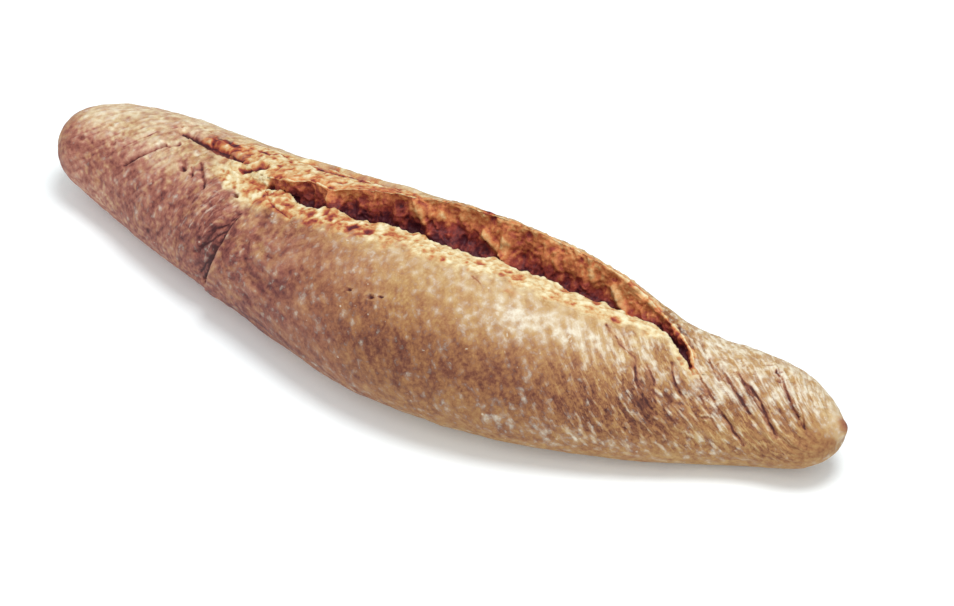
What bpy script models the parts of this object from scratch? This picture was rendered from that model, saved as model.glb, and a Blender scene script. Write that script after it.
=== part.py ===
"""A half baguette: one whole crusty loaf, rounded at both ends and split along its top.

The loaf lies along X with its flat sole on Z = 0. Its surface is a loft: closed sections
stand at stations from the left tip (-1) to the right tip (1), and each section is walked by
an angle that starts under the loaf, climbs the near side (-Y), crosses the top at 180 degrees
and comes down the far side. The split is a band of the loft with walls of its own. The
slash, the folds, the puckers and the lumps of the crust move the loft in or out. Lengths are
in metres and angles in degrees unless a comment says otherwise.
"""

import bpy
import numpy as np

MM = 0.001

# Driving dimensions
LENGTH = 270 * MM
WIDEST_SHARE = 0.42  # height of the widest line, as a share of the section's height
UNDERSIDE_SWELL = 1.12  # the lower half would reach below the floor by this, so it lies flat
LEFT_CAP, RIGHT_CAP = 0.29, 0.26  # how much of each half length rounds in to the tip
TIP_SHARE = 0.49  # height of the tips, as a share of the section's height there

# The section at each station: the station, half width on the near side, half width on the far
# side, centre line's Y, height on the near side and height on the far side, in millimetres.
SECTIONS = np.array(
    [
        (-1.00, 26.0, 26.0, 8.5, 35.0, 35.0),
        (-0.85, 21.0, 21.0, 9.5, 30.5, 30.5),
        (-0.60, 24.0, 23.5, 3.5, 35.0, 35.0),
        (-0.30, 27.0, 29.5, -6.0, 40.0, 42.0),
        (-0.15, 28.8, 33.5, -10.8, 43.0, 46.0),
        (0.00, 31.0, 36.0, -14.0, 45.0, 49.8),
        (0.30, 32.0, 35.5, -12.5, 45.0, 48.4),
        (0.45, 28.9, 31.0, -8.9, 40.8, 44.0),
        (0.60, 24.5, 24.5, -4.0, 34.8, 34.3),
        (0.85, 18.5, 18.0, 8.5, 27.5, 27.4),
        (1.00, 19.0, 19.0, 7.0, 28.5, 28.5),
    ]
)

# The split: the station, the angle of its near lip, how many degrees it gapes, its depth, and
# the lift of its far edge, which has baked into a raised ear, in millimetres. The dough is
# torn, so the floor rises here and there where the two sides still hold together.
SPLIT = np.array(
    [
        (-0.50, 166.0, 16.0, 0.0, 0.0),
        (-0.36, 168.0, 5.0, 0.0, 0.0),
        (-0.345, 168.2, 5.0, 0.0, 0.0),
        (-0.325, 168.4, 5.2, 3.5, 0.2),
        (-0.27, 170.6, 6.5, 5.0, 0.5),
        (-0.24, 170.6, 10.5, 5.8, 0.9),
        (-0.20, 171.0, 10.5, 5.8, 1.0),
        (-0.16, 173.6, 7.6, 3.0, 1.0),
        (-0.12, 177.3, 9.0, 5.0, 1.1),
        (-0.08, 179.2, 10.6, 6.8, 1.2),
        (0.02, 183.0, 14.0, 8.5, 1.6),
        (0.09, 184.0, 19.0, 7.0, 2.0),
        (0.18, 184.5, 22.0, 10.5, 2.6),
        (0.30, 185.5, 23.5, 10.5, 2.4),
        (0.42, 187.0, 24.0, 9.5, 1.8),
        (0.50, 188.5, 23.0, 8.0, 1.2),
        (0.56, 189.5, 19.0, 5.5, 0.8),
        (0.62, 184.0, 13.5, 4.5, 0.4),
        (0.68, 167.0, 10.5, 3.0, 0.2),
        (0.72, 153.0, 5.0, 0.0, 0.0),
        (0.735, 153.2, 5.0, 0.0, 0.0),
        (0.86, 158.0, 16.0, 0.0, 0.0),
    ]
)
# The split's own section, from the near lip (0) to the edge of the ear (1): how far across it
# lies and how deep, as shares. The far wall is steep below and rounds over into the ear.
SPLIT_WALLS = np.array(
    [
        (0.00, 0.00, 0.00),
        (0.14, 0.12, 0.42),
        (0.30, 0.26, 0.90),
        (0.42, 0.46, 1.00),
        (0.56, 0.70, 0.84),
        (0.76, 0.85, 0.42),
        (0.90, 0.94, 0.13),
        (1.00, 1.00, 0.00),
    ]
)
SHALLOW = 3 * MM  # a split less deep than this has straighter walls
EAR_ROOT = 40.0  # degrees behind its edge over which the ear's lift dies away
LIP_ROUND = 14.0  # degrees before the near lip over which the crust rolls over
LIP_ROLL = 0.12  # how far it rolls down there, as a share of the split's depth

# Creases in the crust. Each is a line of (station, angle) points and, in millimetres, a depth,
# the half widths of its right and left banks as one looks along the line, and the swelling of
# its left bank.
SLASH_LINE = [(-0.66, 183.0), (-0.60, 181.0), (-0.53, 178.5), (-0.44, 178.0)]
FLAKE_LINE = [(-0.31, 203.0), (-0.25, 207.0), (-0.18, 205.0), (-0.03, 208.0)]
FOLD_LINE = [(-0.322, 164.0), (-0.340, 146.0), (-0.355, 133.0), (-0.361, 121.0), (-0.381, 101.5), (-0.412, 76.0)]
FOLD_BRANCH_LINE = [(-0.338, 152.0), (-0.364, 143.5), (-0.400, 123.0), (-0.430, 104.0)]
LOBE_LINE = [(-0.744, 133.5), (-0.711, 147.0), (-0.685, 159.0), (-0.671, 164.0), (-0.635, 169.0)]
SLIT_LINE = [(-0.428, 170.5), (-0.403, 174.5), (-0.382, 180.0)]  # past the slash's end
HOLLOW_LINE = [(-0.405, 167.5), (-0.352, 168.5)]  # where the tear sinks before it opens
CREASES = [
    (SLASH_LINE, 2.8, 1.0, 4.5, 0.0),
    (SLIT_LINE, 1.6, 1.0, 1.2, 0.3),
    (HOLLOW_LINE, 1.2, 0.9, 3.2, 0.0),
    (FLAKE_LINE, 1.0, 0.8, 0.6, 0.9),  # crust lifted in a flake behind the ear
    (FOLD_LINE, 2.0, 3.8, 1.0, 1.2),  # where the left lobe tucks under the middle
    (FOLD_BRANCH_LINE, 1.0, 1.6, 1.0, 0.4),
    (LOBE_LINE, 0.9, 1.0, 1.0, 0.2),
]

# The crust puckered towards the right tip. The puckers run side by side, each leaning towards
# the tip as it comes down: the station where it crosses 150 degrees, the angles of its two
# ends, and its depth in millimetres.
PUCKERS = [
    (0.614, 172.0, 114.0, 0.7),
    (0.643, 146.0, 108.0, 0.5),
    (0.724, 156.0, 120.0, 0.8),
    (0.716, 122.0, 80.0, 0.7),
    (0.744, 108.0, 72.0, 0.6),
    (0.790, 168.0, 124.0, 0.9),
    (0.825, 162.0, 106.0, 1.2),
    (0.870, 176.0, 138.0, 0.6),
    (0.920, 182.0, 138.0, 0.9),
]
PUCKER_LEAN = 0.0026  # stations for each degree
PUCKER_WIDTH = 0.9  # millimetres, as for the other creases
PUCKER_SWELL = 0.5  # swelling of a pucker's left bank, as a share of its depth

# A nub of the rolled dough stands proud at the right tip.
NUB = np.array((134.5, 10.5, 17.5)) * MM
NUB_REACH = 2.6 * MM
NUB_HEIGHT = 1.8 * MM

# Lumps and bumps all over, and rough crumb in the split: their size and their height
LUMPS = (26 * MM, 0.8 * MM)
BUMPS = (7 * MM, 0.28 * MM)
CRUMB = (4.5 * MM, 1.1 * MM)
SEED = 7

# The loft's grid, before its flat parts are thinned to the number of triangles kept
RINGS = 340
SOLE_COLUMNS, SIDE_COLUMNS, SPLIT_COLUMNS = 16, 70, 40
SOLE_EDGE = 38.0  # degrees up from the middle of the sole
TRIANGLES = 11000


def curve_through(at, points, values):
    """A smooth curve through (points, values), read at each value of at. It is a cubic on
    each span, and its slope at a point is the weighted mean of the two spans' slopes."""
    spans = np.diff(points)
    slopes = np.diff(values) / spans
    ends = np.empty_like(values)
    ends[0], ends[-1] = slopes[0], slopes[-1]
    ends[1:-1] = (spans[1:] * slopes[:-1] + spans[:-1] * slopes[1:]) / (spans[:-1] + spans[1:])
    at = np.clip(at, points[0], points[-1])
    i = np.clip(np.searchsorted(points, at, side="right") - 1, 0, len(points) - 2)
    t = (at - points[i]) / spans[i]
    return (
        (1 + 2 * t) * (1 - t) ** 2 * values[i]
        + t * (1 - t) ** 2 * spans[i] * ends[i]
        + t**2 * (3 - 2 * t) * values[i + 1]
        + t**2 * (t - 1) * spans[i] * ends[i + 1]
    )


def ease(value, low, high):
    """0 below low, 1 above high, and a smooth step between."""
    t = np.clip((value - low) / (high - low), 0, 1)
    return t * t * (3 - 2 * t)


def noise(points, size, seed):
    """Smooth random height from -1 to 1: a random value at each corner of a grid of cubes of
    that size, eased between the corners."""
    cell = points / size
    corner = np.floor(cell).astype(np.int64)
    t = cell - corner
    t = t * t * (3 - 2 * t)
    total = np.zeros(points.shape[:-1])
    for step in np.ndindex(2, 2, 2):
        x, y, z = np.moveaxis(corner + step, -1, 0)
        key = (x * 73856093) ^ (y * 19349663) ^ (z * 83492791) ^ (seed * 2654435761)
        key = ((key ^ (key >> 13)) * 1274126177) & 0xFFFFFFFF
        key = ((key ^ (key >> 16)) * 2246822519) & 0xFFFFFFFF
        weight = np.where(step, t, 1 - t).prod(axis=-1)
        total += weight * (key / 0xFFFFFFFF * 2 - 1)
    return total


def tip_rounding(station):
    """1 along the loaf, falling to 0 at each tip on a quarter ellipse."""
    left = np.clip((LEFT_CAP - 1 - station) / LEFT_CAP, 0, 1)
    right = np.clip((station - 1 + RIGHT_CAP) / RIGHT_CAP, 0, 1)
    return np.sqrt(1 - np.maximum(left, right) ** 2)


def section_size(station, column):
    return curve_through(station, SECTIONS[:, 0], SECTIONS[:, column]) * MM


def split_size(station, column):
    return curve_through(station, SPLIT[:, 0], SPLIT[:, column])


def split_angles(station):
    """The angles of the split's near lip and of the ear's edge."""
    lip = split_size(station, 1)
    return lip, lip + split_size(station, 2)


def plain_loaf(station, angle):
    """The loft without its split: a half oval on each side, cut flat by the floor."""
    lip, ear = split_angles(station)
    far_share = ease(angle, lip, ear)
    rounding = tip_rounding(station)
    near_height, far_height = section_size(station, 4), section_size(station, 5)
    height = near_height * (1 - far_share) + far_height * far_share
    widest = near_height * (WIDEST_SHARE + (TIP_SHARE - WIDEST_SHARE) * (1 - rounding))
    upper = (height - near_height * WIDEST_SHARE) * rounding
    lower = near_height * WIDEST_SHARE * UNDERSIDE_SWELL * rounding
    across, down = np.sin(np.radians(angle)), np.cos(np.radians(angle))
    half_width = np.where(across > 0, section_size(station, 1), section_size(station, 2))
    y = section_size(station, 3) - half_width * rounding * across
    z = widest - np.where(down > 0, lower, upper) * down
    return np.stack([station * LENGTH / 2, y, np.maximum(z, 0)], axis=-1)


def open_split(station, across):
    """The walls of the split, across it from the near lip (0) to the edge of the ear (1)."""
    lip, ear = split_angles(station)
    start, end = plain_loaf(station, lip), plain_loaf(station, ear)
    depth, lift = split_size(station, 3) * MM, split_size(station, 4) * MM
    along = curve_through(across, SPLIT_WALLS[:, 0], SPLIT_WALLS[:, 1])
    along = across + (along - across) * ease(depth, 0, SHALLOW)
    down = curve_through(across, SPLIT_WALLS[:, 0], SPLIT_WALLS[:, 2])
    roll = LIP_ROLL * depth * (1 - ease(across, 0, 0.5))
    points = start + (end - start) * along[..., None]
    points[..., 2] += lift * ease(across, 0.5, 1) - down * depth - roll
    return points


def loaf_grid():
    """The station and angle of every point of the loft, and how far across the split it is,
    which is nan outside the split. Rings crowd together towards the tips, and columns
    towards the split."""
    turn = np.linspace(0, 1, RINGS + 2)[1:-1]
    station = turn - 0.5 - np.cos(turn * np.pi) * 0.5
    lip, ear = (edge[:, None] for edge in split_angles(station))
    sole = np.linspace(0, 1, SOLE_COLUMNS, endpoint=False)[None, :]
    side = np.linspace(0, 1, SIDE_COLUMNS, endpoint=False)[None, :]
    across = np.linspace(0, 1, SPLIT_COLUMNS, endpoint=False)[None, :]
    bands = [
        SOLE_EDGE * sole + 0 * lip,
        SOLE_EDGE + (lip - SOLE_EDGE) * side * (1.5 - 0.5 * side),
        lip + (ear - lip) * across,
        ear + (360 - SOLE_EDGE - ear) * side * (0.5 + 0.5 * side),
        360 - SOLE_EDGE * (1 - sole) + 0 * lip,
    ]
    angle = np.concatenate(bands, axis=1)
    inside = np.full(angle.shape, np.nan)
    first = SOLE_COLUMNS + SIDE_COLUMNS
    inside[:, first : first + SPLIT_COLUMNS] = across
    return np.broadcast_to(station[:, None], angle.shape), angle, inside


def shape_points(station, angle, inside):
    """Every point of the loft, with the split open, its lip rolled down and its ear lifted."""
    points = plain_loaf(station, angle)
    lip, ear = split_angles(station)
    depth, lift = split_size(station, 3) * MM, split_size(station, 4) * MM
    before = np.clip((lip - angle) / LIP_ROUND, 0, 1)
    behind = np.clip((angle - ear) / EAR_ROOT, 0, 1)
    points[..., 2] -= np.where(angle < lip, LIP_ROLL * depth * (1 - before) ** 2, 0)
    points[..., 2] += np.where(angle >= ear, lift * (1 - behind) ** 2, 0)
    walls = open_split(station, np.nan_to_num(inside))
    return np.where(np.isnan(inside)[..., None], points, walls)


def outward(points):
    """The unit normal at each point of the grid, from its neighbours along and around."""
    along = np.gradient(points, axis=0)
    around = np.roll(points, -1, axis=1) - np.roll(points, 1, axis=1)
    normal = np.cross(along, around)
    return normal / np.maximum(np.linalg.norm(normal, axis=-1, keepdims=True), 1e-12)


def line_distance(line, station, angle):
    """How far each point is from a line drawn on the crust, laid out flat, in millimetres, and
    on which side of it: -1 to the right of the line and 1 to its left."""
    half = LENGTH / 2 / MM
    girth = (section_size(station, 2) + section_size(station, 5)) / 2 * tip_rounding(station) / MM
    nearest, side = np.full(station.shape, np.inf), np.zeros(station.shape)
    for (start, start_angle), (end, end_angle) in zip(line[:-1], line[1:]):
        x, y = (station - start) * half, np.radians(angle - start_angle) * girth
        dx, dy = (end - start) * half, np.radians(end_angle - start_angle) * girth
        share = np.clip((x * dx + y * dy) / (dx * dx + dy * dy), 0, 1)
        x, y = x - share * dx, y - share * dy
        distance = np.maximum(np.hypot(x, y), 1e-9)
        closer = distance < nearest
        side = np.where(closer, (dx * y - dy * x) / np.hypot(dx, dy) / distance, side)
        nearest = np.where(closer, distance, nearest)
    return nearest, side


def crease_relief(crease, station, angle):
    """A valley with banks of two widths, and the left bank swelling up beside it."""
    line, depth, right_width, left_width, swell = crease
    distance, side = line_distance(line, station, angle)
    width = right_width + (left_width - right_width) * (side + 1) / 2
    valley = np.exp(-((distance / width) ** 1.5))
    bank = distance / (3 * left_width)
    return (swell * bank * np.exp(1 - bank) * np.maximum(side, 0) - depth * valley) * MM


def creases():
    """Every crease of the crust, the puckers among them."""
    found = list(CREASES)
    for station, top, bottom, depth in PUCKERS:
        line = [(station + PUCKER_LEAN * (150 - angle), angle) for angle in (top, bottom)]
        found.append((line, depth, PUCKER_WIDTH, PUCKER_WIDTH, PUCKER_SWELL * depth))
    return found


def relief(station, angle, inside, points):
    """How far each point moves outwards. The sole stays flat, and the tips stay smooth."""
    torn = np.sin(np.pi * np.nan_to_num(inside)) * ease(split_size(station, 3), 0, 3)
    height = LUMPS[1] * noise(points, LUMPS[0], SEED)
    height += BUMPS[1] * noise(points, BUMPS[0], SEED + 1) * (1 - torn)
    height += CRUMB[1] * noise(points, CRUMB[0], SEED + 2) * torn
    for crease in creases():
        height += crease_relief(crease, station, angle)
    from_nub = np.linalg.norm(points - NUB, axis=-1) / NUB_REACH
    fade = ease(points[..., 2], 0.5 * MM, 8 * MM) * ease(tip_rounding(station), 0, 0.5)
    return height * fade + NUB_HEIGHT * np.exp(-(from_nub**2))


def closed_mesh(name, rings):
    """A mesh of the rings, each joined to the next, with a point closing each tip."""
    count, columns = rings.shape[:2]
    tips = [rings[0].mean(axis=0), rings[-1].mean(axis=0)]
    vertices = np.concatenate([rings.reshape(-1, 3), tips])
    here = np.arange(count * columns).reshape(count, columns)
    after = np.roll(here, -1, axis=1)
    faces = np.stack([here[:-1], here[1:], after[1:], after[:-1]], axis=-1).reshape(-1, 4).tolist()
    left, right = count * columns, count * columns + 1
    faces += [(left, a, b) for a, b in zip(here[0].tolist(), after[0].tolist())]
    faces += [(right, b, a) for a, b in zip(here[-1].tolist(), after[-1].tolist())]
    mesh = bpy.data.meshes.new(name)
    mesh.from_pydata(vertices.tolist(), [], faces)
    mesh.shade_smooth()
    return mesh


def crust_material():
    material = bpy.data.materials.new("crust")
    material.use_nodes = True
    shader = material.node_tree.nodes["Principled BSDF"]
    shader.inputs["Base Color"].default_value = (0.42, 0.20, 0.08, 1)
    shader.inputs["Roughness"].default_value = 0.75
    shader.inputs["Metallic"].default_value = 0.0
    return material


def surface():
    """The loft with its relief, its sole flat on the floor and its box centred on the origin."""
    station, angle, inside = loaf_grid()
    points = shape_points(station, angle, inside)
    height = relief(station, angle, inside, points)
    points = points + outward(points) * height[..., None]
    points[..., 2] = np.maximum(points[..., 2], 0)
    low, high = points.min(axis=(0, 1)), points.max(axis=(0, 1))
    points[..., :2] -= (low[:2] + high[:2]) / 2
    return points


def make_baguette():
    points = surface()
    loaf = bpy.data.objects.new("baguette", closed_mesh("baguette", points))
    bpy.context.scene.collection.objects.link(loaf)
    loaf.data.materials.append(crust_material())
    thinning = loaf.modifiers.new("thinning", "DECIMATE")
    thinning.ratio = TRIANGLES / (2 * RINGS * points.shape[1])


def clear_scene():
    for item in list(bpy.data.objects):
        bpy.data.objects.remove(item)


clear_scene()
make_baguette()
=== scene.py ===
import math

import bpy
import numpy as np
from mathutils import Matrix, Vector


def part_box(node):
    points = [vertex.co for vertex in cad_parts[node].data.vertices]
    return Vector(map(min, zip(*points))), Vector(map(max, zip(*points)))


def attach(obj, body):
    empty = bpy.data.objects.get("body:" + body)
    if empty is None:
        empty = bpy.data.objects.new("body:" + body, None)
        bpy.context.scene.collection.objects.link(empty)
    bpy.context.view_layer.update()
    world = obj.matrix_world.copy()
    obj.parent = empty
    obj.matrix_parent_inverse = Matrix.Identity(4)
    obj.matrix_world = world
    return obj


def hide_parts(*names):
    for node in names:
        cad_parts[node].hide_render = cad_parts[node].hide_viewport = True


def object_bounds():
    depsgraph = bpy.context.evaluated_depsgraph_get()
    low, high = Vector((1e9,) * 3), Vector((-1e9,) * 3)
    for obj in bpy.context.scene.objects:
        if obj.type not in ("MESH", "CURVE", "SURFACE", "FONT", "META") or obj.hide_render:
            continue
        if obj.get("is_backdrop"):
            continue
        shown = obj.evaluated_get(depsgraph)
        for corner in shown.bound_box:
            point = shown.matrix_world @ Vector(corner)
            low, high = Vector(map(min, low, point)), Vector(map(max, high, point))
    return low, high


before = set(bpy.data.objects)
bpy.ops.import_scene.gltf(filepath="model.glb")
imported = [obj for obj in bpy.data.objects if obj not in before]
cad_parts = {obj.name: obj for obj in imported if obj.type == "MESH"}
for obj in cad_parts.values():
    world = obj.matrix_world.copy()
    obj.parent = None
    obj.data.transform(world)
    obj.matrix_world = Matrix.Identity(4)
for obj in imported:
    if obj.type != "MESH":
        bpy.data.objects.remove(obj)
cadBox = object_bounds()

# A half baguette on a white table: one whole small loaf, rounded at both ends, torn open along
# its top. The loaf lies along x. Its crust is a loft: a station runs from the left tip (-1) to
# the right tip (1), and an angle runs round each section from the sole (0) up the near side
# (90, towards -y), over the top (180) and down the far side (270).

mm = 0.001
solidLow, solidHigh = (np.array(corner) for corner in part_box("baguette"))

loaf = {
    "length": 270 * mm,
    "widestShare": 0.42,  # height of the widest line, as a share of the section's height
    "undersideSwell": 1.12,  # the lower half would reach below the table, so it lies flat
    "leftCap": 0.29,  # how much of each half length rounds in to the tip
    "rightCap": 0.26,
    "tipShare": 0.49,  # height of the tips, as a share of the section's height there
    "soleEdge": 38.0,  # degrees up from the middle of the sole
    # station, near half width, far half width, centre line's y, near and far height in mm
    "sections": np.array([
        (-1.00, 26.0, 26.0, 8.5, 35.0, 35.0),
        (-0.85, 21.0, 21.0, 9.5, 30.5, 30.5),
        (-0.60, 24.0, 23.5, 3.5, 35.0, 35.0),
        (-0.30, 27.0, 29.5, -6.0, 40.0, 42.0),
        (-0.15, 28.8, 33.5, -10.8, 43.0, 46.0),
        (0.00, 31.0, 36.0, -14.0, 45.0, 49.8),
        (0.30, 32.0, 35.5, -12.5, 45.0, 48.4),
        (0.45, 28.9, 31.0, -8.9, 40.8, 44.0),
        (0.60, 24.5, 24.5, -4.0, 34.8, 34.3),
        (0.85, 18.5, 18.0, 8.5, 27.5, 27.4),
        (1.00, 19.0, 19.0, 7.0, 28.5, 28.5),
    ]),
    "lumps": (26 * mm, 0.8 * mm),  # size and height of the slow unevenness
    "bumps": (7 * mm, 0.28 * mm),
    "seed": 7,
}
halfMm = loaf["length"] / 2 / mm  # mm for each unit of station
shoulder = 150.0  # degrees, the near shoulder: a leaning line's station is the one it has here

split = {
    # station, angle of the near lip, degrees it gapes, depth in mm, lift of the ear in mm
    "course": np.array([
        (-0.50, 166.0, 16.0, 0.0, 0.0),
        (-0.36, 168.0, 5.0, 0.0, 0.0),
        (-0.345, 168.2, 5.0, 0.0, 0.0),
        (-0.325, 168.4, 5.2, 3.5, 0.2),
        (-0.27, 170.6, 6.5, 5.0, 0.5),
        (-0.24, 170.6, 10.5, 5.8, 0.9),
        (-0.20, 171.0, 10.5, 5.8, 1.0),
        (-0.16, 173.6, 7.6, 3.0, 1.0),
        (-0.12, 177.3, 9.0, 5.0, 1.1),
        (-0.08, 179.2, 10.6, 6.8, 1.2),
        (0.02, 183.0, 14.0, 8.5, 1.6),
        (0.09, 184.0, 19.0, 7.0, 2.0),
        (0.18, 184.5, 22.0, 10.5, 2.6),
        (0.30, 185.5, 23.5, 10.5, 2.4),
        (0.42, 187.0, 24.0, 9.5, 1.8),
        (0.50, 188.5, 23.0, 8.0, 1.2),
        (0.56, 189.5, 19.0, 5.5, 0.8),
        # less deep than the solid's split, whose end would show as a black gap here
        (0.62, 184.0, 13.5, 3.7, 0.4),
        (0.68, 167.0, 10.5, 2.1, 0.2),
        (0.72, 153.0, 5.0, 0.0, 0.0),
        (0.735, 153.2, 5.0, 0.0, 0.0),
        (0.86, 158.0, 16.0, 0.0, 0.0),
    ]),
    # across from the near lip (0) to the ear (1), share of the gape, share of the depth
    "walls": np.array([
        (0.00, 0.00, 0.00),
        (0.14, 0.12, 0.42),
        (0.30, 0.26, 0.90),
        (0.42, 0.46, 1.00),
        (0.56, 0.70, 0.84),
        (0.76, 0.85, 0.42),
        (0.90, 0.94, 0.13),
        (1.00, 1.00, 0.00),
    ]),
    "shallow": 3 * mm,  # a split less deep than this has straighter walls
    "earRoot": 40.0,  # degrees behind its edge over which the ear's lift dies away
    "lipRound": 14.0,  # degrees before the near lip over which the crust rolls over
    "lipRoll": 0.12,  # how far it rolls down, as a share of the depth
    "crumb": (4.5 * mm, 1.1 * mm),  # size and height of the torn lumps
}

# each crease: its line of (station, angle) points, depth, right and left half width, and swell
# of its left bank, in mm
creases = [
    # the slash, the slit past its end, and the hollow before the split opens
    ([(-0.66, 183.0), (-0.60, 181.0), (-0.53, 178.5), (-0.44, 178.0)], 2.0, 1.0, 4.5, 0.0),
    ([(-0.428, 170.5), (-0.403, 174.5), (-0.382, 180.0)], 1.6, 1.0, 1.2, 0.3),
    ([(-0.405, 167.5), (-0.352, 168.5)], 1.2, 0.9, 3.2, 0.0),
    # the lifted flake behind the ear
    ([(-0.31, 203.0), (-0.25, 207.0), (-0.18, 205.0), (-0.03, 208.0)], 1.0, 0.8, 0.6, 0.9),
    # the fold where the left lobe tucks under, its branch, and the line down the lobe
    ([(-0.322, 164.0), (-0.340, 146.0), (-0.355, 133.0), (-0.361, 121.0), (-0.381, 101.5),
      (-0.412, 76.0)], 2.0, 3.8, 1.0, 1.2),
    ([(-0.338, 152.0), (-0.364, 143.5), (-0.400, 123.0), (-0.430, 104.0)], 0.7, 1.6, 1.0, 0.4),
    ([(-0.744, 133.5), (-0.711, 147.0), (-0.685, 159.0), (-0.671, 164.0), (-0.635, 169.0)],
     0.9, 1.0, 1.0, 0.2),
]
creaseShade = {
    # painted shade: a thin dark line along every valley, and the darkened floor of a deep one
    "line": 0.5,  # how dark the thin line in a valley is
    "lineWidth": 0.7,  # mm
    "floor": 0.8,  # how dark the floor of a deep valley is
    "deep": (1.1, 1.7),  # mm, the depths at which that starts and is whole
}

puckers = {
    # station at the shoulder, top and bottom angle, depth in mm
    "lines": [
        (0.614, 172.0, 114.0, 0.7), (0.643, 146.0, 108.0, 0.5), (0.724, 156.0, 120.0, 0.8),
        (0.716, 122.0, 80.0, 0.7), (0.744, 108.0, 72.0, 0.6), (0.790, 168.0, 124.0, 0.9),
        (0.825, 162.0, 106.0, 1.2), (0.870, 176.0, 138.0, 0.6), (0.920, 182.0, 138.0, 0.9),
    ],
    "softened": 0.5,  # the solid's puckers are deeper: here the thin cracks do part of their work
    "lean": 0.0026,  # stations for each degree
    "width": 0.9,  # mm
    "swell": 0.5,  # swelling of the left bank, as a share of the depth
}

nub = {"place": np.array((134.5, 10.5, 17.5)) * mm, "reach": 2.6 * mm, "height": 1.8 * mm}


def curveThrough(at, knots, values):
    # a cubic on each span, whose slope at a knot is the weighted mean of the two spans' slopes
    spans = np.diff(knots)
    slopes = np.diff(values) / spans
    ends = np.empty_like(values)
    ends[0], ends[-1] = slopes[0], slopes[-1]
    ends[1:-1] = (spans[1:] * slopes[:-1] + spans[:-1] * slopes[1:]) / (spans[:-1] + spans[1:])
    at = np.clip(at, knots[0], knots[-1])
    i = np.clip(np.searchsorted(knots, at, side="right") - 1, 0, len(knots) - 2)
    t = (at - knots[i]) / spans[i]
    return (
        (1 + 2 * t) * (1 - t) ** 2 * values[i] + t * (1 - t) ** 2 * spans[i] * ends[i]
        + t**2 * (3 - 2 * t) * values[i + 1] + t**2 * (t - 1) * spans[i] * ends[i + 1]
    )


def ease(value, start, end):
    # 0 up to start, 1 from end on, and a smooth step between; start may be the larger
    t = np.clip((value - start) / (end - start), 0, 1)
    return t * t * (3 - 2 * t)


def bell(value):
    # 1 at 0, dying away to both sides as exp(-value squared)
    return np.exp(-(value**2))


def cellRandom(corner, seed):
    # a random share from 0 to 1 for each whole-number corner, by mixing its bits
    x, y, z = np.moveaxis(corner, -1, 0)
    key = (x * 73856093) ^ (y * 19349663) ^ (z * 83492791) ^ (seed * 2654435761)
    key = ((key ^ (key >> 13)) * 1274126177) & 0xFFFFFFFF
    key = ((key ^ (key >> 16)) * 2246822519) & 0xFFFFFFFF
    return key / 0xFFFFFFFF


def softNoise(points, size, seed):
    # smooth height from -1 to 1: a random value at each corner of a grid of cubes, eased between
    cell = points / size
    corner = np.floor(cell).astype(np.int64)
    t = cell - corner
    t = t * t * (3 - 2 * t)
    total = np.zeros(points.shape[:-1])
    for step in np.ndindex(2, 2, 2):
        weight = np.where(step, t, 1 - t).prod(axis=-1)
        total += weight * (cellRandom(corner + step, seed) * 2 - 1)
    return total


def bubbles(points, size, share, seed):
    # depth from 0 to 1 of round pores: each cube of a grid may hold one ball, and a point inside
    # a ball lies as deep as the ball's far half
    cell = points / size
    corner = np.floor(cell).astype(np.int64)
    deepest = np.zeros(points.shape[:-1])
    for step in np.ndindex(3, 3, 3):
        home = corner + (np.array(step) - 1)
        middle = home + np.stack([cellRandom(home, seed + k) for k in (1, 2, 3)], axis=-1)
        reach = 0.35 + 0.4 * cellRandom(home, seed + 4)
        isOpen = cellRandom(home, seed + 5) < share
        gap = 1 - np.sum((cell - middle) ** 2, axis=-1) / reach**2
        deepest = np.maximum(deepest, np.where(isOpen, reach * np.sqrt(np.maximum(gap, 0)), 0))
    return deepest


def sectionSize(station, column):
    # one of the sections' measures in metres, on a smooth curve through the table
    return curveThrough(station, loaf["sections"][:, 0], loaf["sections"][:, column]) * mm


def splitSize(station, column):
    # one of the split's measures in degrees or mm, on a smooth curve through the table
    return curveThrough(station, split["course"][:, 0], split["course"][:, column])


def splitAngles(station):
    # the angles of the near lip and of the ear
    lip = splitSize(station, 1)
    return lip, lip + splitSize(station, 2)


def tipRounding(station):
    # 1 along the loaf, falling to 0 at each tip on a quarter ellipse
    left = np.clip((loaf["leftCap"] - 1 - station) / loaf["leftCap"], 0, 1)
    right = np.clip((station - 1 + loaf["rightCap"]) / loaf["rightCap"], 0, 1)
    return np.sqrt(1 - np.maximum(left, right) ** 2)


def plainLoaf(station, angle):
    # a half oval on each side of the centre line, cut flat by the table, higher behind the split
    lip, ear = splitAngles(station)
    farShare = ease(angle, lip, ear)
    rounding = tipRounding(station)
    nearHeight, farHeight = sectionSize(station, 4), sectionSize(station, 5)
    height = nearHeight * (1 - farShare) + farHeight * farShare
    widestShare, tipShare = loaf["widestShare"], loaf["tipShare"]
    widest = nearHeight * (widestShare + (tipShare - widestShare) * (1 - rounding))
    upper = (height - nearHeight * widestShare) * rounding
    lower = nearHeight * widestShare * loaf["undersideSwell"] * rounding
    across, down = np.sin(np.radians(angle)), np.cos(np.radians(angle))
    halfWidth = np.where(across > 0, sectionSize(station, 1), sectionSize(station, 2))
    y = sectionSize(station, 3) - halfWidth * rounding * across
    z = widest - np.where(down > 0, lower, upper) * down
    return np.stack([station * halfMm * mm, y, np.maximum(z, 0)], axis=-1)


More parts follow.
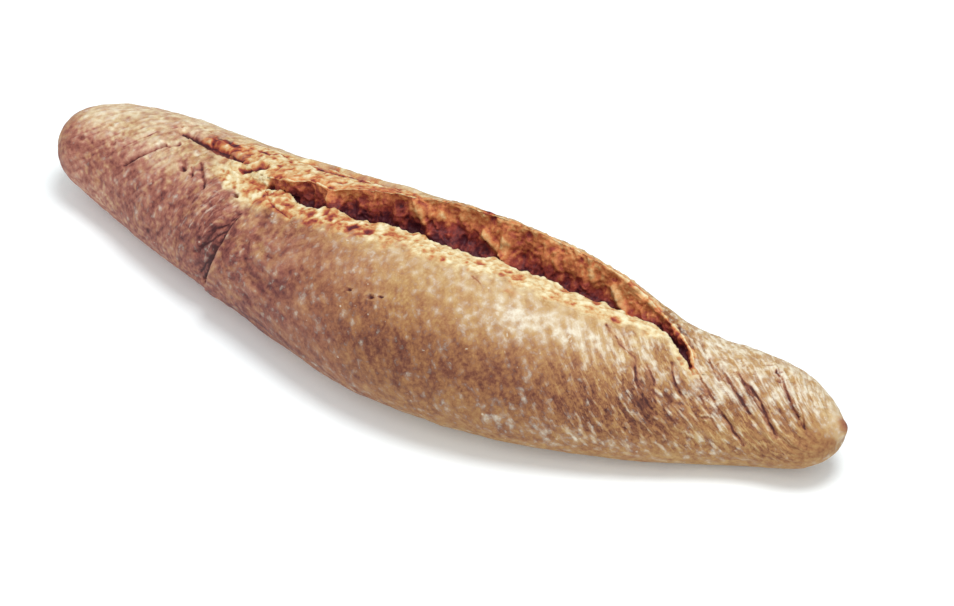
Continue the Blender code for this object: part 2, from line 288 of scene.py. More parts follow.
def openSplit(station, across):
    # the walls of the split: the straight line from lip to ear, pushed across and down
    lip, ear = splitAngles(station)
    start, end = plainLoaf(station, lip), plainLoaf(station, ear)
    depth, lift = splitSize(station, 3) * mm, splitSize(station, 4) * mm
    along = curveThrough(across, split["walls"][:, 0], split["walls"][:, 1])
    along = across + (along - across) * ease(depth, 0, split["shallow"])
    down = curveThrough(across, split["walls"][:, 0], split["walls"][:, 2])
    roll = split["lipRoll"] * depth * (1 - ease(across, 0, 0.5))
    points = start + (end - start) * along[..., None]
    points[..., 2] += lift * ease(across, 0.5, 1) - down * depth - roll
    return points


def shapePoints(station, angle, inside):
    # the plain loaf with its split open, the near lip rolled down and the ear lifted
    points = plainLoaf(station, angle)
    lip, ear = splitAngles(station)
    depth, lift = splitSize(station, 3) * mm, splitSize(station, 4) * mm
    before = np.clip((lip - angle) / split["lipRound"], 0, 1)
    behind = np.clip((angle - ear) / split["earRoot"], 0, 1)
    points[..., 2] -= np.where(angle < lip, split["lipRoll"] * depth * (1 - before) ** 2, 0)
    points[..., 2] += np.where(angle >= ear, lift * (1 - behind) ** 2, 0)
    walls = openSplit(station, np.nan_to_num(inside))
    return np.where(np.isnan(inside)[..., None], points, walls)


def splitOpen(station):
    # 1 where the split is open, 0 past its ends
    return ease(splitSize(station, 3) * mm, 0, split["shallow"])


def inward(angle):
    # towards the middle of the loaf, across its length
    return np.stack([0 * angle, np.sin(np.radians(angle)), np.cos(np.radians(angle))], axis=-1)


def outward(points):
    # the unit normal at each point of the grid, from its neighbours along and around
    along = np.gradient(points, axis=0)
    around = np.roll(points, -1, axis=1) - np.roll(points, 1, axis=1)
    normal = np.cross(along, around)
    return normal / np.maximum(np.linalg.norm(normal, axis=-1, keepdims=True), 1e-12)


def fromSegment(x, y, dx, dy):
    # the way to (x, y) from the nearest point of the straight line from (0, 0) to (dx, dy)
    share = np.clip((x * dx + y * dy) / (dx * dx + dy * dy), 0, 1)
    return x - share * dx, y - share * dy


def lineDistance(line, station, angle):
    # mm from a line drawn on the crust laid out flat, and the side of it: -1 right, 1 left
    girth = (sectionSize(station, 2) + sectionSize(station, 5)) / 2 * tipRounding(station) / mm
    nearest, side = np.full(station.shape, np.inf), np.zeros(station.shape)
    for (start, startAngle), (end, endAngle) in zip(line[:-1], line[1:]):
        dx, dy = (end - start) * halfMm, np.radians(endAngle - startAngle) * girth
        x, y = fromSegment((station - start) * halfMm, np.radians(angle - startAngle) * girth, dx, dy)
        distance = np.maximum(np.hypot(x, y), 1e-9)
        closer = distance < nearest
        side = np.where(closer, (dx * y - dy * x) / np.hypot(dx, dy) / distance, side)
        nearest = np.where(closer, distance, nearest)
    return nearest, side


def allCreases():
    # the creases and the puckers, whose lines lean by a few stations for each degree
    found = list(creases)
    for station, top, bottom, depth in puckers["lines"]:
        line = [(station + puckers["lean"] * (shoulder - angle), angle) for angle in (top, bottom)]
        depth = depth * puckers["softened"]
        found.append((line, depth, puckers["width"], puckers["width"], puckers["swell"] * depth))
    return found


def creaseRelief(station, angle):
    # every crease as a valley with banks of two widths, the left bank swelling beside it; also the painted
    # shade at each point: a thin dark line in every valley, and the whole floor of a deep one
    height, shade = np.zeros((2, *station.shape))
    for line, depth, rightWidth, leftWidth, swell in allCreases():
        distance, side = lineDistance(line, station, angle)
        width = rightWidth + (leftWidth - rightWidth) * (side + 1) / 2
        valley = np.exp(-((distance / width) ** 1.5))
        bank = distance / (3 * leftWidth)
        height += (swell * bank * np.exp(1 - bank) * np.maximum(side, 0) - depth * valley) * mm
        drawn = creaseShade["line"] * min(depth, 1) * bell(distance / creaseShade["lineWidth"])
        floor = creaseShade["floor"] * ease(valley, 0.5, 0.95) * ease(depth, *creaseShade["deep"])
        shade = np.maximum(shade, np.maximum(drawn, floor))
    return height, shade


def tornAmount(station, inside):
    # 1 midway across the open split, 0 at its lip and ear and outside it
    return np.sin(np.pi * np.nan_to_num(inside)) * splitOpen(station)


def coarseRelief(station, angle, inside, points):
    # the relief that the solid has too: lumps, bumps, torn lumps in the split and creases, which
    # all die away near the table and at the tips, and the nub
    torn = tornAmount(station, inside)
    height, shade = creaseRelief(station, angle)
    layers = ((loaf["lumps"], 1), (loaf["bumps"], 1 - torn), (split["crumb"], torn))
    for k, ((size, rise), share) in enumerate(layers):
        height += rise * softNoise(points, size, loaf["seed"] + k) * share
    fade = ease(points[..., 2], 0.5 * mm, 8 * mm) * ease(tipRounding(station), 0, 0.5)
    onNub = bell(np.linalg.norm(points - nub["place"], axis=-1) / nub["reach"])
    return height * fade + nub["height"] * onNub, shade


# the skin between the creases: mottles and wrinkles that follow its flow, pits and thin cracks
skin = {
    "girth": 28.0,  # mm for each radian round the loaf
    # how far the skin's flow leans towards the right tip, mm for each mm down, by station
    "lean": np.array([
        (-1.0, 0.25), (-0.62, 0.15), (-0.40, -0.50), (-0.28, -0.40), (-0.02, 0.45), (0.45, 0.72),
        (1.0, 0.72),
    ]),
    "leftStretch": 1.2,  # how far the left lobe's mottles are drawn out along the flow
    # wrinkles at the right end, on the left lobe and in rings beside the fold: mm between them and
    # depth in mm, for the wide ones and for the narrow ones
    "wrinkles": (((3.0, 0.42), (1.5, 0.18)), ((2.6, 0.20), (1.4, 0.10)), ((2.4, 0.28), (1.2, 0.13))),
    "wrinkleLength": 6,  # times the space between them
    "narrowShare": 0.6,  # how much the narrow ones colour the skin, against the wide ones
    "wander": (9.0, 1.6),  # size and reach of their bends in mm
    "leftLean": -0.8,  # of the left lobe's wrinkles, against the flow at the right tip
    "ringCentre": (-0.20, 160.0),  # station and angle
    "ringHeight": 0.8,  # of a ring, against its length
    "ringRadius": 16.0,  # mm for each radian round the rings
    "pebbles": ((2.4, 0.12), (1.1, 0.08)),  # size and height in mm
    "pebbleStretch": 1.6,
    # burst pores: station, angle, depth and reach in mm
    "pits": ((0.016, 135.0, 0.9, 0.5), (0.072, 136.0, 1.1, 0.7), (0.094, 138.0, 0.8, 0.45),
             (0.811, 191.0, 0.8, 0.6), (0.836, 187.0, 0.7, 0.6), (0.849, 177.5, 0.6, 0.5),
             (0.763, 120.0, 0.5, 0.5), (-0.575, 152.0, 0.7, 0.9), (-0.542, 151.0, 0.6, 0.6),
             (-0.411, 157.5, 0.7, 0.7), (-0.394, 153.0, 1.0, 0.7), (-0.811, 145.5, 0.4, 0.8),
             (-0.796, 152.2, 0.4, 0.8), (-0.904, 138.0, 0.4, 0.9), (-0.851, 163.5, 0.4, 0.7),
             (-0.445, 158.9, 0.6, 0.6), (-0.472, 164.7, 0.6, 0.6), (-0.348, 195.2, 1.0, 0.8),
             (-0.352, 186.0, 1.0, 0.8), (-0.380, 191.0, 0.9, 0.8)),
    # thin cracks: (station, angle) points, depth and half width in mm, and how broken they are
    "cracks": (
        ([(-0.652, 185.5), (-0.628, 185.5), (-0.600, 184.5), (-0.574, 182.5)], 1.2, 1.6, 0.1),
        ([(-0.561, 183.0), (-0.541, 182.5), (-0.517, 181.5)], 1.2, 1.5, 0.0),
        ([(-0.478, 180.5), (-0.461, 180.2)], 1.2, 1.1, 0.0),
        ([(-0.428, 172.0), (-0.412, 173.5), (-0.400, 176.0), (-0.390, 179.7), (-0.380, 181.5)],
         1.2, 1.0, 0.0),
        ([(-0.744, 133.4), (-0.711, 147.1), (-0.685, 158.9), (-0.671, 164.2)], 1.1, 0.7, 0.5),
        ([(-0.656, 165.0), (-0.635, 169.2)], 0.9, 0.7, 0.1),
        ([(-0.770, 148.1), (-0.752, 158.2), (-0.734, 166.7), (-0.716, 176.4), (-0.681, 193.2)],
         0.5, 0.5, 0.7),
        ([(-0.582, 156.2), (-0.570, 152.1)], 0.7, 1.1, 0.2),
        ([(-0.548, 154.9), (-0.534, 150.4)], 0.7, 0.6, 0.1),
        ([(-0.534, 160.9), (-0.516, 156.2), (-0.485, 146.9)], 0.9, 0.8, 0.2),
        ([(-0.306, 168.0), (-0.318, 162.0), (-0.332, 152.4), (-0.340, 146.0), (-0.352, 137.1),
          (-0.358, 130.6), (-0.361, 122.5), (-0.368, 112.7), (-0.380, 101.5), (-0.397, 88.0),
          (-0.415, 74.5)], 1.3, 0.8, 0.1),
        ([(-0.345, 150.5), (-0.363, 142.4), (-0.375, 133.6), (-0.395, 127.5), (-0.412, 122.0)],
         0.6, 0.5, 0.3),
        ([(-0.372, 127.5), (-0.395, 117.7), (-0.427, 109.3)], 0.5, 0.45, 0.3),
        ([(-0.385, 106.0), (-0.408, 96.0), (-0.425, 86.0)], 0.5, 0.45, 0.4),
        ([(-0.328, 166.0), (-0.30, 160.0), (-0.265, 157.0), (-0.225, 156.5)], 0.6, 0.5, 0.5),
        ([(-0.301, 201.0), (-0.263, 198.5), (-0.21, 199.0), (-0.157, 200.5), (-0.105, 203.2),
          (-0.031, 204.5)], 1.4, 1.3, 0.2),
        ([(-0.433, 194.7), (-0.407, 193.7), (-0.391, 200.0), (-0.36, 199.0)], 1.1, 1.1, 0.3),
        ([(0.525, 171.0), (0.565, 163.0), (0.605, 157.0), (0.630, 140.0), (0.683, 117.5)], 0.6, 0.5, 0.5),
        ([(0.632, 153.0), (0.656, 143.8), (0.675, 128.0)], 0.4, 0.4, 0.5),
        ([(0.697, 165.0), (0.719, 157.5), (0.753, 143.5), (0.784, 129.8), (0.814, 115.5), (0.842, 99.0)],
         0.8, 0.5, 0.4),
        ([(0.739, 171.0), (0.788, 153.2), (0.834, 133.5)], 0.7, 0.55, 0.45),
        ([(0.779, 168.0), (0.817, 156.5), (0.847, 147.2), (0.871, 133.0), (0.899, 117.2)], 0.75, 0.55, 0.4),
        ([(0.835, 186.0), (0.856, 180.0), (0.889, 165.0), (0.924, 149.5)], 0.9, 0.5, 0.4),
        ([(0.716, 176.0), (0.738, 165.0), (0.757, 156.0)], 0.4, 0.4, 0.5),
        ([(0.905, 166.0), (0.926, 155.0), (0.944, 141.0)], 0.4, 0.4, 0.5),
        ([(0.746, 137.0), (0.768, 124.5), (0.790, 112.0)], 0.4, 0.4, 0.5),
        ([(0.668, 160.0), (0.690, 148.0), (0.708, 137.0)], 0.4, 0.4, 0.5),
        ([(0.251, 166.2), (0.270, 163.7)], 0.25, 0.45, 0.5),
    ),
    "narrowest": 0.65,  # mm, half width of the narrowest groove that the mesh can carry
}
ridgeMean = 0.8  # of the heights that drawnNoise gives


def flowPlace(station, angle):
    # mm across and along the skin's flow, whose lean changes along the loaf and fades low down
    turn = np.radians(angle - shoulder)
    lean = curveThrough(station, skin["lean"][:, 0], skin["lean"][:, 1])
    across = station * halfMm + lean * skin["girth"] * np.sin(np.clip(turn, -1.5, 1.5))
    return across, turn * skin["girth"]


def flowNoise(station, angle, points, size, stretch, seed):
    # soft noise drawn out along the flow; at the tips, where the flow's lines meet, it is round
    across, along = flowPlace(station, angle)
    stretch = skin["leftStretch"] + (stretch - skin["leftStretch"]) * ease(station, -0.3, 0.4)
    bend = 0.35 * size * softNoise(points, 4 * size * mm, seed + 1)
    cell = np.stack([(across + bend) / size, along / (size * stretch), 0 * across], axis=-1)
    atTips = ease(tipRounding(station), 0.9, 0.55)
    return softNoise(cell, 1.0, seed) * (1 - atTips) + softNoise(points, size * 1.2 * mm, seed + 2) * atTips


def drawnNoise(across, along, seed):
    # ridges drawn out along one direction: twice the size of soft noise, rounded where it is 0,
    # so that rounded crests have narrow valleys between them
    cell = np.stack([across, along, np.zeros_like(across)], axis=-1)
    return np.sqrt(softNoise(cell, 1.0, seed) ** 2 + 0.006) * 2


def skinWrinkles(station, angle):
    # height in mm of three families of wrinkles, and how deep in a groove (0 to 1) and how high
    # on a crest each point lies: the ridges of drawnNoise, each family in its own part
    x, y = station * halfMm, np.radians(angle - shoulder) * skin["girth"]
    size, reach = skin["wander"]
    wander = reach * softNoise(np.stack([x, y, 0 * x], axis=-1), size, 31)
    height, grooves, crests = np.zeros((3, *station.shape))
    weights = [
        ease(station, 0.48, 0.66) * ease(station, 1.0, 0.93) * ease(angle, 70, 112)
        * (1 - 0.6 * ease(angle, 185, 215)),
        0.9 * ease(station, -0.36, -0.46) * ease(angle, 60, 110) * ease(tipRounding(station), 0.3, 0.8),
        bell((station + 0.24) / 0.13) * ease(angle, 80, 110) * ease(angle, 172, 160),
    ]
    centre, centreAngle = skin["ringCentre"]
    ringX, ringY = (station - centre) * halfMm, np.radians(angle - centreAngle) * skin["girth"]
    ring = np.hypot(ringX, ringY * skin["ringHeight"])
    roundRing = np.arctan2(ringY, ringX) * skin["ringRadius"]
    lean = skin["lean"][-1, 1]
    fields = [(x + lean * y, y), (x + skin["leftLean"] * lean * y, y), (ring, roundRing)]
    for k, (weight, (across, along), sizes) in enumerate(zip(weights, fields, skin["wrinkles"])):
        for j, (spacing, depth) in enumerate(sizes):
            ridges = drawnNoise((across + wander) / spacing, along / (spacing * skin["wrinkleLength"]),
                                41 + 2 * k + j)
            height += weight * depth * (ridges - ridgeMean)
            shown = weight * skin["narrowShare"] ** j
            grooves = np.maximum(grooves, shown * ease(ridges, 0.5, 0.15))
            crests = np.maximum(crests, shown * ease(ridges, 0.7, 1.4))
    return height, grooves, crests


def skinCracks(station, angle, points):
    # depth in mm of the thin cracks and how much of a raised rim runs beside them; and for the material,
    # which draws them finer than the mesh can: how far to the side of the nearest crack each point lies, in
    # half widths, and how dark that crack is painted, as painted shade; a broken one comes and goes
    height, dark, rims = np.zeros((3, *station.shape))
    aside, nearest = np.full(station.shape, 9.0), np.full(station.shape, np.inf)
    gaps, wobble = softNoise(points, 3.2 * mm, 55), 0.35 * softNoise(points, 2.4 * mm, 56)
    # a deep groove on the far shoulder would hide its own floor
    grooveShare = 1 - 0.8 * ease(angle, 185, 197)
    for line, depth, width, broken in skin["cracks"]:
        distance, side = lineDistance(line, station, angle)
        there = 1 - broken * ease(gaps, -0.25, 0.2)
        wide = max(width, skin["narrowest"])
        offset = np.hypot(side * distance + wobble, distance * np.sqrt(np.maximum(1 - side**2, 0)))
        rim = bell((offset - 2.3 * wide) / (0.9 * wide)) * there * (0.35 + 0.65 * ease(side, -0.4, 0.4))
        rims = np.maximum(rims, min(1.0, depth) * rim)
        height += (0.3 * rim - 0.8 * bell(offset / wide) * there) * depth * grooveShare
        closer = distance < nearest
        nearest = np.where(closer, distance, nearest)
        aside = np.where(closer, (side * distance + wobble) / width, aside)
        strength = min(1.0, 0.3 + 0.6 * depth) * there * ease(distance, width + 0.7, width + 0.3)
        dark = np.where(closer, strength, dark)
    return height, dark, aside, rims


def skinRelief(station, angle, points):
    # the skin's relief in metres, and its cracks, pits, grooves, crests and rims for the material, which
    # paints shade into the hollows and light onto the raised places
    height, grooves, crests = skinWrinkles(station, angle)
    cracked, dark, aside, rims = skinCracks(station, angle, points)
    pits = np.zeros(station.shape)
    height = height + cracked
    for k, (size, rise) in enumerate(skin["pebbles"]):
        height += rise * flowNoise(station, angle, points, size, skin["pebbleStretch"], 51 + 5 * k)
    for at, atAngle, depth, reach in skin["pits"]:
        # a pore is a very short line, with a low rim round it
        distance = lineDistance([(at, atAngle), (at + 0.004, atAngle)], station, angle)[0] / reach
        pit, rim = bell(distance), bell((distance - 2.0) / 0.6)
        height += depth * (0.25 * rim - pit)
        rims = np.maximum(rims, 0.7 * rim)
        pits = np.maximum(pits, min(1.0, 1.2 * depth) * pit)
    fade = ease(points[..., 2], 1 * mm, 6 * mm) * ease(tipRounding(station), 0, 0.3)
    return height * mm * fade, {"crack": dark, "aside": aside, "cracked": cracked, "pit": pits,
                                "groove": grooves, "crest": crests, "rim": rims}


# the torn crumb: the pale ragged lip, the split's walls and the crumbling far shoulder
crumb = {
    "start": -0.72,  # stations
    "end": 0.78,
    "rings": 590,
    "columns": (44, 14, 62, 34, 12),  # before the lip, under it, up the far wall, behind, below
    "nearReach": 22.0,  # degrees before the lip
    "farEdge": 211.0,  # where the far shoulder stops crumbling, as an angle
    "farReach": 20.0,  # degrees behind the ear where there is only the ear's own edge
    "rimWidth": 4.4,  # mm over which the crumb dips under the crust
    "rimNoise": (3.0, 1.1),  # size and reach in mm of the rim's unevenness
    "sunk": 3.6 * mm,  # how far the crust stays below the crumb
    "thickness": 4.6 * mm,
    "ragged": ((3.2, 0.8), (1.6, 0.45), (5.0, 0.6)),  # size and reach in mm of its edges' wander
    # size in mm, share of places that hold one, and depth or height in mm for each unit of its size
    "wallPores": ((4.2, 0.5, 0.8), (2.2, 0.8, 0.9), (1.1, 0.85, 0.7)),
    "lipPores": ((2.4, 0.25, 0.6), (1.2, 0.4, 0.35)),
    "lumps": ((1.6, 0.75, 0.42), (0.95, 0.75, 0.32)),
    "grains": ((1.3, 0.14), (0.7, 0.12)),  # size and height in mm
    "pull": (3.0, 0.9),  # size and reach in mm of the dough's twists
    "wallPull": (1.0, 1.0, 0.6),  # the walls' pores are pulled tall as the dough tears
    "lipPull": (0.75, 1.0, 1.0),  # the lip's lumps are a little long
    "lipReach": 11.0,  # degrees before the lip over which its crumb smooths out
    "wallStreaks": (3.2, 0.9),  # size and height in mm of the upright streaks of the far wall
    "wallHeight": 14.0,  # mm for each unit of place across
    # ribs of dough across the far wall: station and place across at the top and at the foot,
    # half width and rise in mm, and how much paler than the wall
    "ribs": (
        (0.018, 0.86, 0.062, 0.50, 0.8, 1.2, 0.25), (0.076, 0.80, 0.100, 0.56, 0.7, 0.8, 0.2),
        (0.169, 0.74, 0.222, 0.60, 0.6, 1.8, 0.4), (0.215, 0.68, 0.240, 0.48, 1.3, 2.0, 0.35),
        (0.328, 0.76, 0.350, 0.62, 0.7, 0.8, 0.1), (0.462, 0.74, 0.510, 0.52, 1.0, 1.8, 0.45),
        (-0.168, 0.75, -0.150, 0.35, 1.8, 0.9, 0.04), (0.40, 0.95, 0.42, 0.7, 0.9, 0.9, 0.2),
    ),
}


def farWidth(station):
    # degrees behind the ear that crumble: up to the far edge at the left, a fixed reach further on
    ear = splitAngles(station)[1]
    return np.maximum((crumb["farEdge"] - ear) * ease(station, 0.12, 0.0), crumb["farReach"])


def tornCover(station, angle, points):
    # 0 outside the torn band, 1 well inside it: the distance in from an uneven rim, eased
    lip, ear = splitAngles(station)
    arc = np.radians(skin["girth"])
    rim = np.minimum((angle - lip + crumb["nearReach"]) * arc, (ear + farWidth(station) - angle) * arc)
    rim = np.minimum(rim, np.minimum(station - crumb["start"], crumb["end"] - station) * halfMm)
    size, reach = crumb["rimNoise"]
    uneven = softNoise(points, size * mm, 61) + 0.6 * softNoise(points, 1.3 * mm, 62)
    return ease(rim + reach * (uneven - 0.7), 0, crumb["rimWidth"])


def wallRibs(station, inside):
    # height in mm and paleness of the ribs of dough across the far wall, bell-shaped across
    height, pale = np.zeros((2, *station.shape))
    tall = crumb["wallHeight"]
    for top, topAcross, foot, footAcross, width, rise, light in crumb["ribs"]:
        x, y = fromSegment((station - top) * halfMm, (np.nan_to_num(inside) - topAcross) * tall,
                           (foot - top) * halfMm, (footAcross - topAcross) * tall)
        ridge = bell(np.hypot(x, y) / width)
        height, pale = height + rise * ridge, np.maximum(pale, light * ridge)
    return height * (inside > 0.2), pale * (inside > 0.2)


def crumbRelief(station, angle, inside, points):
    # pores, lumps, ribs and grains of the torn crumb in metres, and how deep in a pore and how
    # high on a lump each point lies: layers of bubbles in dough that is twisted and pulled
    torn, across = tornAmount(station, inside), np.nan_to_num(inside)
    twist, twistReach = crumb["pull"]
    pulled = np.stack([softNoise(points, twist * mm, 65 + k) for k in range(3)], axis=-1) * twistReach * mm
    wallPores, lipPores, lumps = (
        sum(depth * bubbles(places, size * mm, share, seed + 10 * k)
            for k, (size, share, depth) in enumerate(crumb[name]))
        for name, places, seed in (
            ("wallPores", (points + pulled) * np.array(crumb["wallPull"]), 71),
            ("lipPores", points + 0.5 * pulled, 101),
            ("lumps", (points + 0.6 * pulled) * np.array(crumb["lipPull"]), 141)))
    grains = sum(rise * softNoise(points, size * mm, 121 + k)
                 for k, (size, rise) in enumerate(crumb["grains"]))
    streakSize, streakRise = crumb["wallStreaks"]
    streaks = streakRise * (drawnNoise(station * halfMm / streakSize, across * 1.8, 91) - ridgeMean)
    ribs, pale = wallRibs(station, inside)
    wall = streaks * ease(across, 0.3, 0.6) - wallPores * (1 - pale)
    thinEdge = 0.6 * ease(across, 0.88, 1)  # at the ear
    nearLip = bell(np.maximum(splitSize(station, 1) - angle, 0) / crumb["lipReach"])
    height = wall * (1 - thinEdge) * np.sqrt(torn) + ribs * splitOpen(station)
    height += (grains + (lumps - lipPores) * (0.35 + 0.65 * nearLip)) * (1 - 0.6 * torn)
    pore = np.clip(wallPores / 1.6 * torn + lipPores / 0.5 * (1 - torn), 0, 1)
    return height * mm, {"pore": pore, "lump": np.clip(lumps / 0.4, 0, 1), "pale": pale}


def raggedEdge(station, inside, angle, points):
    # the lip and the ear wander by a millimetre or so, as torn dough does: soft noise, weighted
    # by how near the edge each point lies
    lip, ear = splitAngles(station)
    outside, across = np.isnan(inside), np.nan_to_num(inside)
    atLip = bell(np.where(outside, (lip - angle) / 3.0, across / 0.10)) * (angle < ear)
    atEar = bell(np.where(outside, (angle - ear) / 4.0, (1 - across) / 0.14)) * (angle > lip)
    wander = sum(reach * softNoise(points, size * mm, 131 + k)
                 for k, (size, reach) in enumerate(crumb["ragged"]))
    wander = wander * ease(splitSize(station, 3), 0, 4) * mm
    moved = np.array(points)
    moved[..., 1] += wander * (atLip - atEar)
    moved[..., 2] += wander * (atEar * 1.2 + atLip * 0.4)
    return moved


def loopedMesh(name, rings, fields, flow):
    # a closed surface of rings, each joined to the next, with a point closing each end; fields
    # are stored on its points for the material, and the skin's flow in mm as a UV map in metres
    count, columns = rings.shape[:2]
    ends = [rings[0].mean(axis=0), rings[-1].mean(axis=0)]
    corners = np.concatenate([rings.reshape(-1, 3), ends])
    here = np.arange(count * columns).reshape(count, columns)
    after = np.roll(here, -1, axis=1)
    quads = np.stack([here[:-1], here[1:], after[1:], after[:-1]], axis=-1).reshape(-1, 4)
    left, right = count * columns, count * columns + 1
    leftFan = np.stack([np.full(columns, left), here[0], after[0]], axis=-1)
    rightFan = np.stack([np.full(columns, right), after[-1], here[-1]], axis=-1)
    mesh = bpy.data.meshes.new(name)
    mesh.from_pydata(corners, [], quads.tolist() + leftFan.tolist() + rightFan.tolist())
    for field, values in fields.items():
        spread = np.concatenate([values.ravel(), [values[0].mean(), values[-1].mean()]])
        mesh.attributes.new(field, "FLOAT", "POINT").data.foreach_set("value", spread.astype(np.float32))
    corner = np.empty(len(mesh.loops), np.int32)
    mesh.loops.foreach_get("vertex_index", corner)
    flat = np.stack([np.append(part.ravel(), [part[0].mean(), part[-1].mean()]) for part in flow], axis=-1)
    mesh.uv_layers.new(name="flow").data.foreach_set("uv", (flat[corner] * mm).astype(np.float32).ravel())
    mesh.shade_smooth()
    piece = bpy.data.objects.new(name, mesh)
    bpy.context.scene.collection.objects.link(piece)
    return piece


def loftColumns(station, bands):
    # the angle and the place across the split of each column; bands give their own start and
    # end at every station, the share along them, and whether they lie in the split
    angles, insides = [], []
    for start, end, share, isSplit in bands:
        angle = start + (end - start) * share[None, :]
        angles.append(angle)
        insides.append(np.broadcast_to(share[None, :] if isSplit else np.nan, angle.shape))
    angle = np.concatenate(angles, axis=1)
    return np.broadcast_to(station[:, None], angle.shape), angle, np.concatenate(insides, axis=1)


def blob(station, angle, middle, reach):
    # 1 at the middle, dying away over the reach; both are (station, angle)
    return bell((station - middle[0]) / reach[0]) * bell((angle - middle[1]) / reach[1])


everywhere = (-3, -2)  # a ramp that is whole all over the loaf
# how darkly the crust is baked, with painted shade added where the relief is hollow, how rosy its brown is,
# how floury it is, and how much the fine wrinkles show. A ramp is an amount, and the stations and degrees
# between which it comes in. A patch is an amount, its (station, angle) and its reach. Marks are what the
# relief adds: the shade, pit, groove and crack marks make hollows darker, redder and less floury, which is
# painted shade, and the crest and rim marks make raised places paler, partly painted light and partly flour.
tones = {
    "bakeAndShade": {
        "base": 0.68,
        "ramps": (
            (-0.22, everywhere, (122, 168)),
            (-0.06, everywhere, (170, 200)),
            (0.24, everywhere, (213, 258)),  # the far side is as brown as the near one
            (-0.05, (-0.75, -0.95), everywhere),
            (-0.14, (-0.5, -0.7), (125, 160)),
            (-0.10, everywhere, (75, 45)),
        ),
        "patches": (
            (0.04, (0.62, 118), (0.17, 13)), (-0.09, (-0.6, 72), (0.25, 16)),
            # the patch at (-0.40, 112) is painted shade beside the fold
            (0.20, (-0.29, 156), (0.05, 9)), (0.13, (-0.40, 112), (0.03, 16)),
            (-0.09, (-0.62, 140), (0.12, 16)), (-0.10, (-0.84, 85), (0.14, 30)),
            (0.06, (0.1, 110), (0.3, 22)), (-0.10, (0.75, 90), (0.25, 40)),
            (0.13, (-0.28, 68), (0.3, 20)), (0.10, (-0.12, 158), (0.16, 16)),
            (0.04, (0.92, 150), (0.1, 25)), (-0.12, (0.88, 118), (0.1, 18)),
            (-0.06, (-0.85, 100), (0.2, 20)), (-0.12, (-0.42, 168), (0.07, 12)),
            (0.06, (0.97, 115), (0.07, 40)),
        ),
        # painted shade in hollows and painted light on crests and rims
        "marks": {"shade": 0.42, "pit": 0.45, "groove": 0.10, "crest": -0.05, "rim": -0.16, "nub": 0.45},
    },
    "rose": {
        "base": 0.0,
        "ramps": (),
        # a redder patch of painted shade beside the fold
        "patches": ((0.3, (-0.40, 112), (0.03, 16)),),
        "marks": {"shade": 0.6, "pit": 0.6, "crack": 0.6, "nub": 0.8},
    },
    "flour": {
        "base": 0.11,
        "ramps": (
            (0.15, everywhere, (135, 175)),
            (-0.16, everywhere, (213, 250)),
            (0.20, (0.55, 0.75), (110, 150)),
            (0.14, (-0.6, -0.9), (140, 190)),
            (-0.08, (0.0, -0.3), everywhere),
        ),
        "patches": (
            (0.46, (0.43, 154), (0.13, 9)), (0.25, (0.52, 86), (0.2, 10)),
            (0.24, (0.33, 142), (0.09, 7)), (0.22, (0.75, 143), (0.08, 12)),
            (-0.08, (0.62, 120), (0.16, 12)), (-0.4, (0.97, 115), (0.07, 40)),
        ),
        "marks": {"shade": -0.5, "pit": -0.5, "groove": -0.15, "crest": 0.12, "nub": -1.0},
    },
    "streak": {
        "base": 0.08,
        "ramps": (),
        "patches": ((0.45, (-0.40, 135), (0.12, 30)),),
        "marks": {},
    },
    # layers of the mottle in the brown and of the drifts of flour: size in mm, stretch, share
    "mottle": ((1.2, 2.4, 0.72), (2.4, 2.0, 0.28), (6.0, 1.4, 0.12)),
    "drift": ((1.2, 4.0, 0.6), (2.4, 3.2, 0.4)),
}


def toneSum(name, station, angle, marks):
    # a tone's base, ramps, patches and marks, added up
    tone = tones[name]
    total = tone["base"] + sum(amount * marks[mark] for mark, amount in tone["marks"].items())
    total = total + sum(amount * ease(station, *along) * ease(angle, *around)
                        for amount, along, around in tone["ramps"])
    return total + sum(amount * blob(station, angle, middle, reach)
                       for amount, middle, reach in tone["patches"])


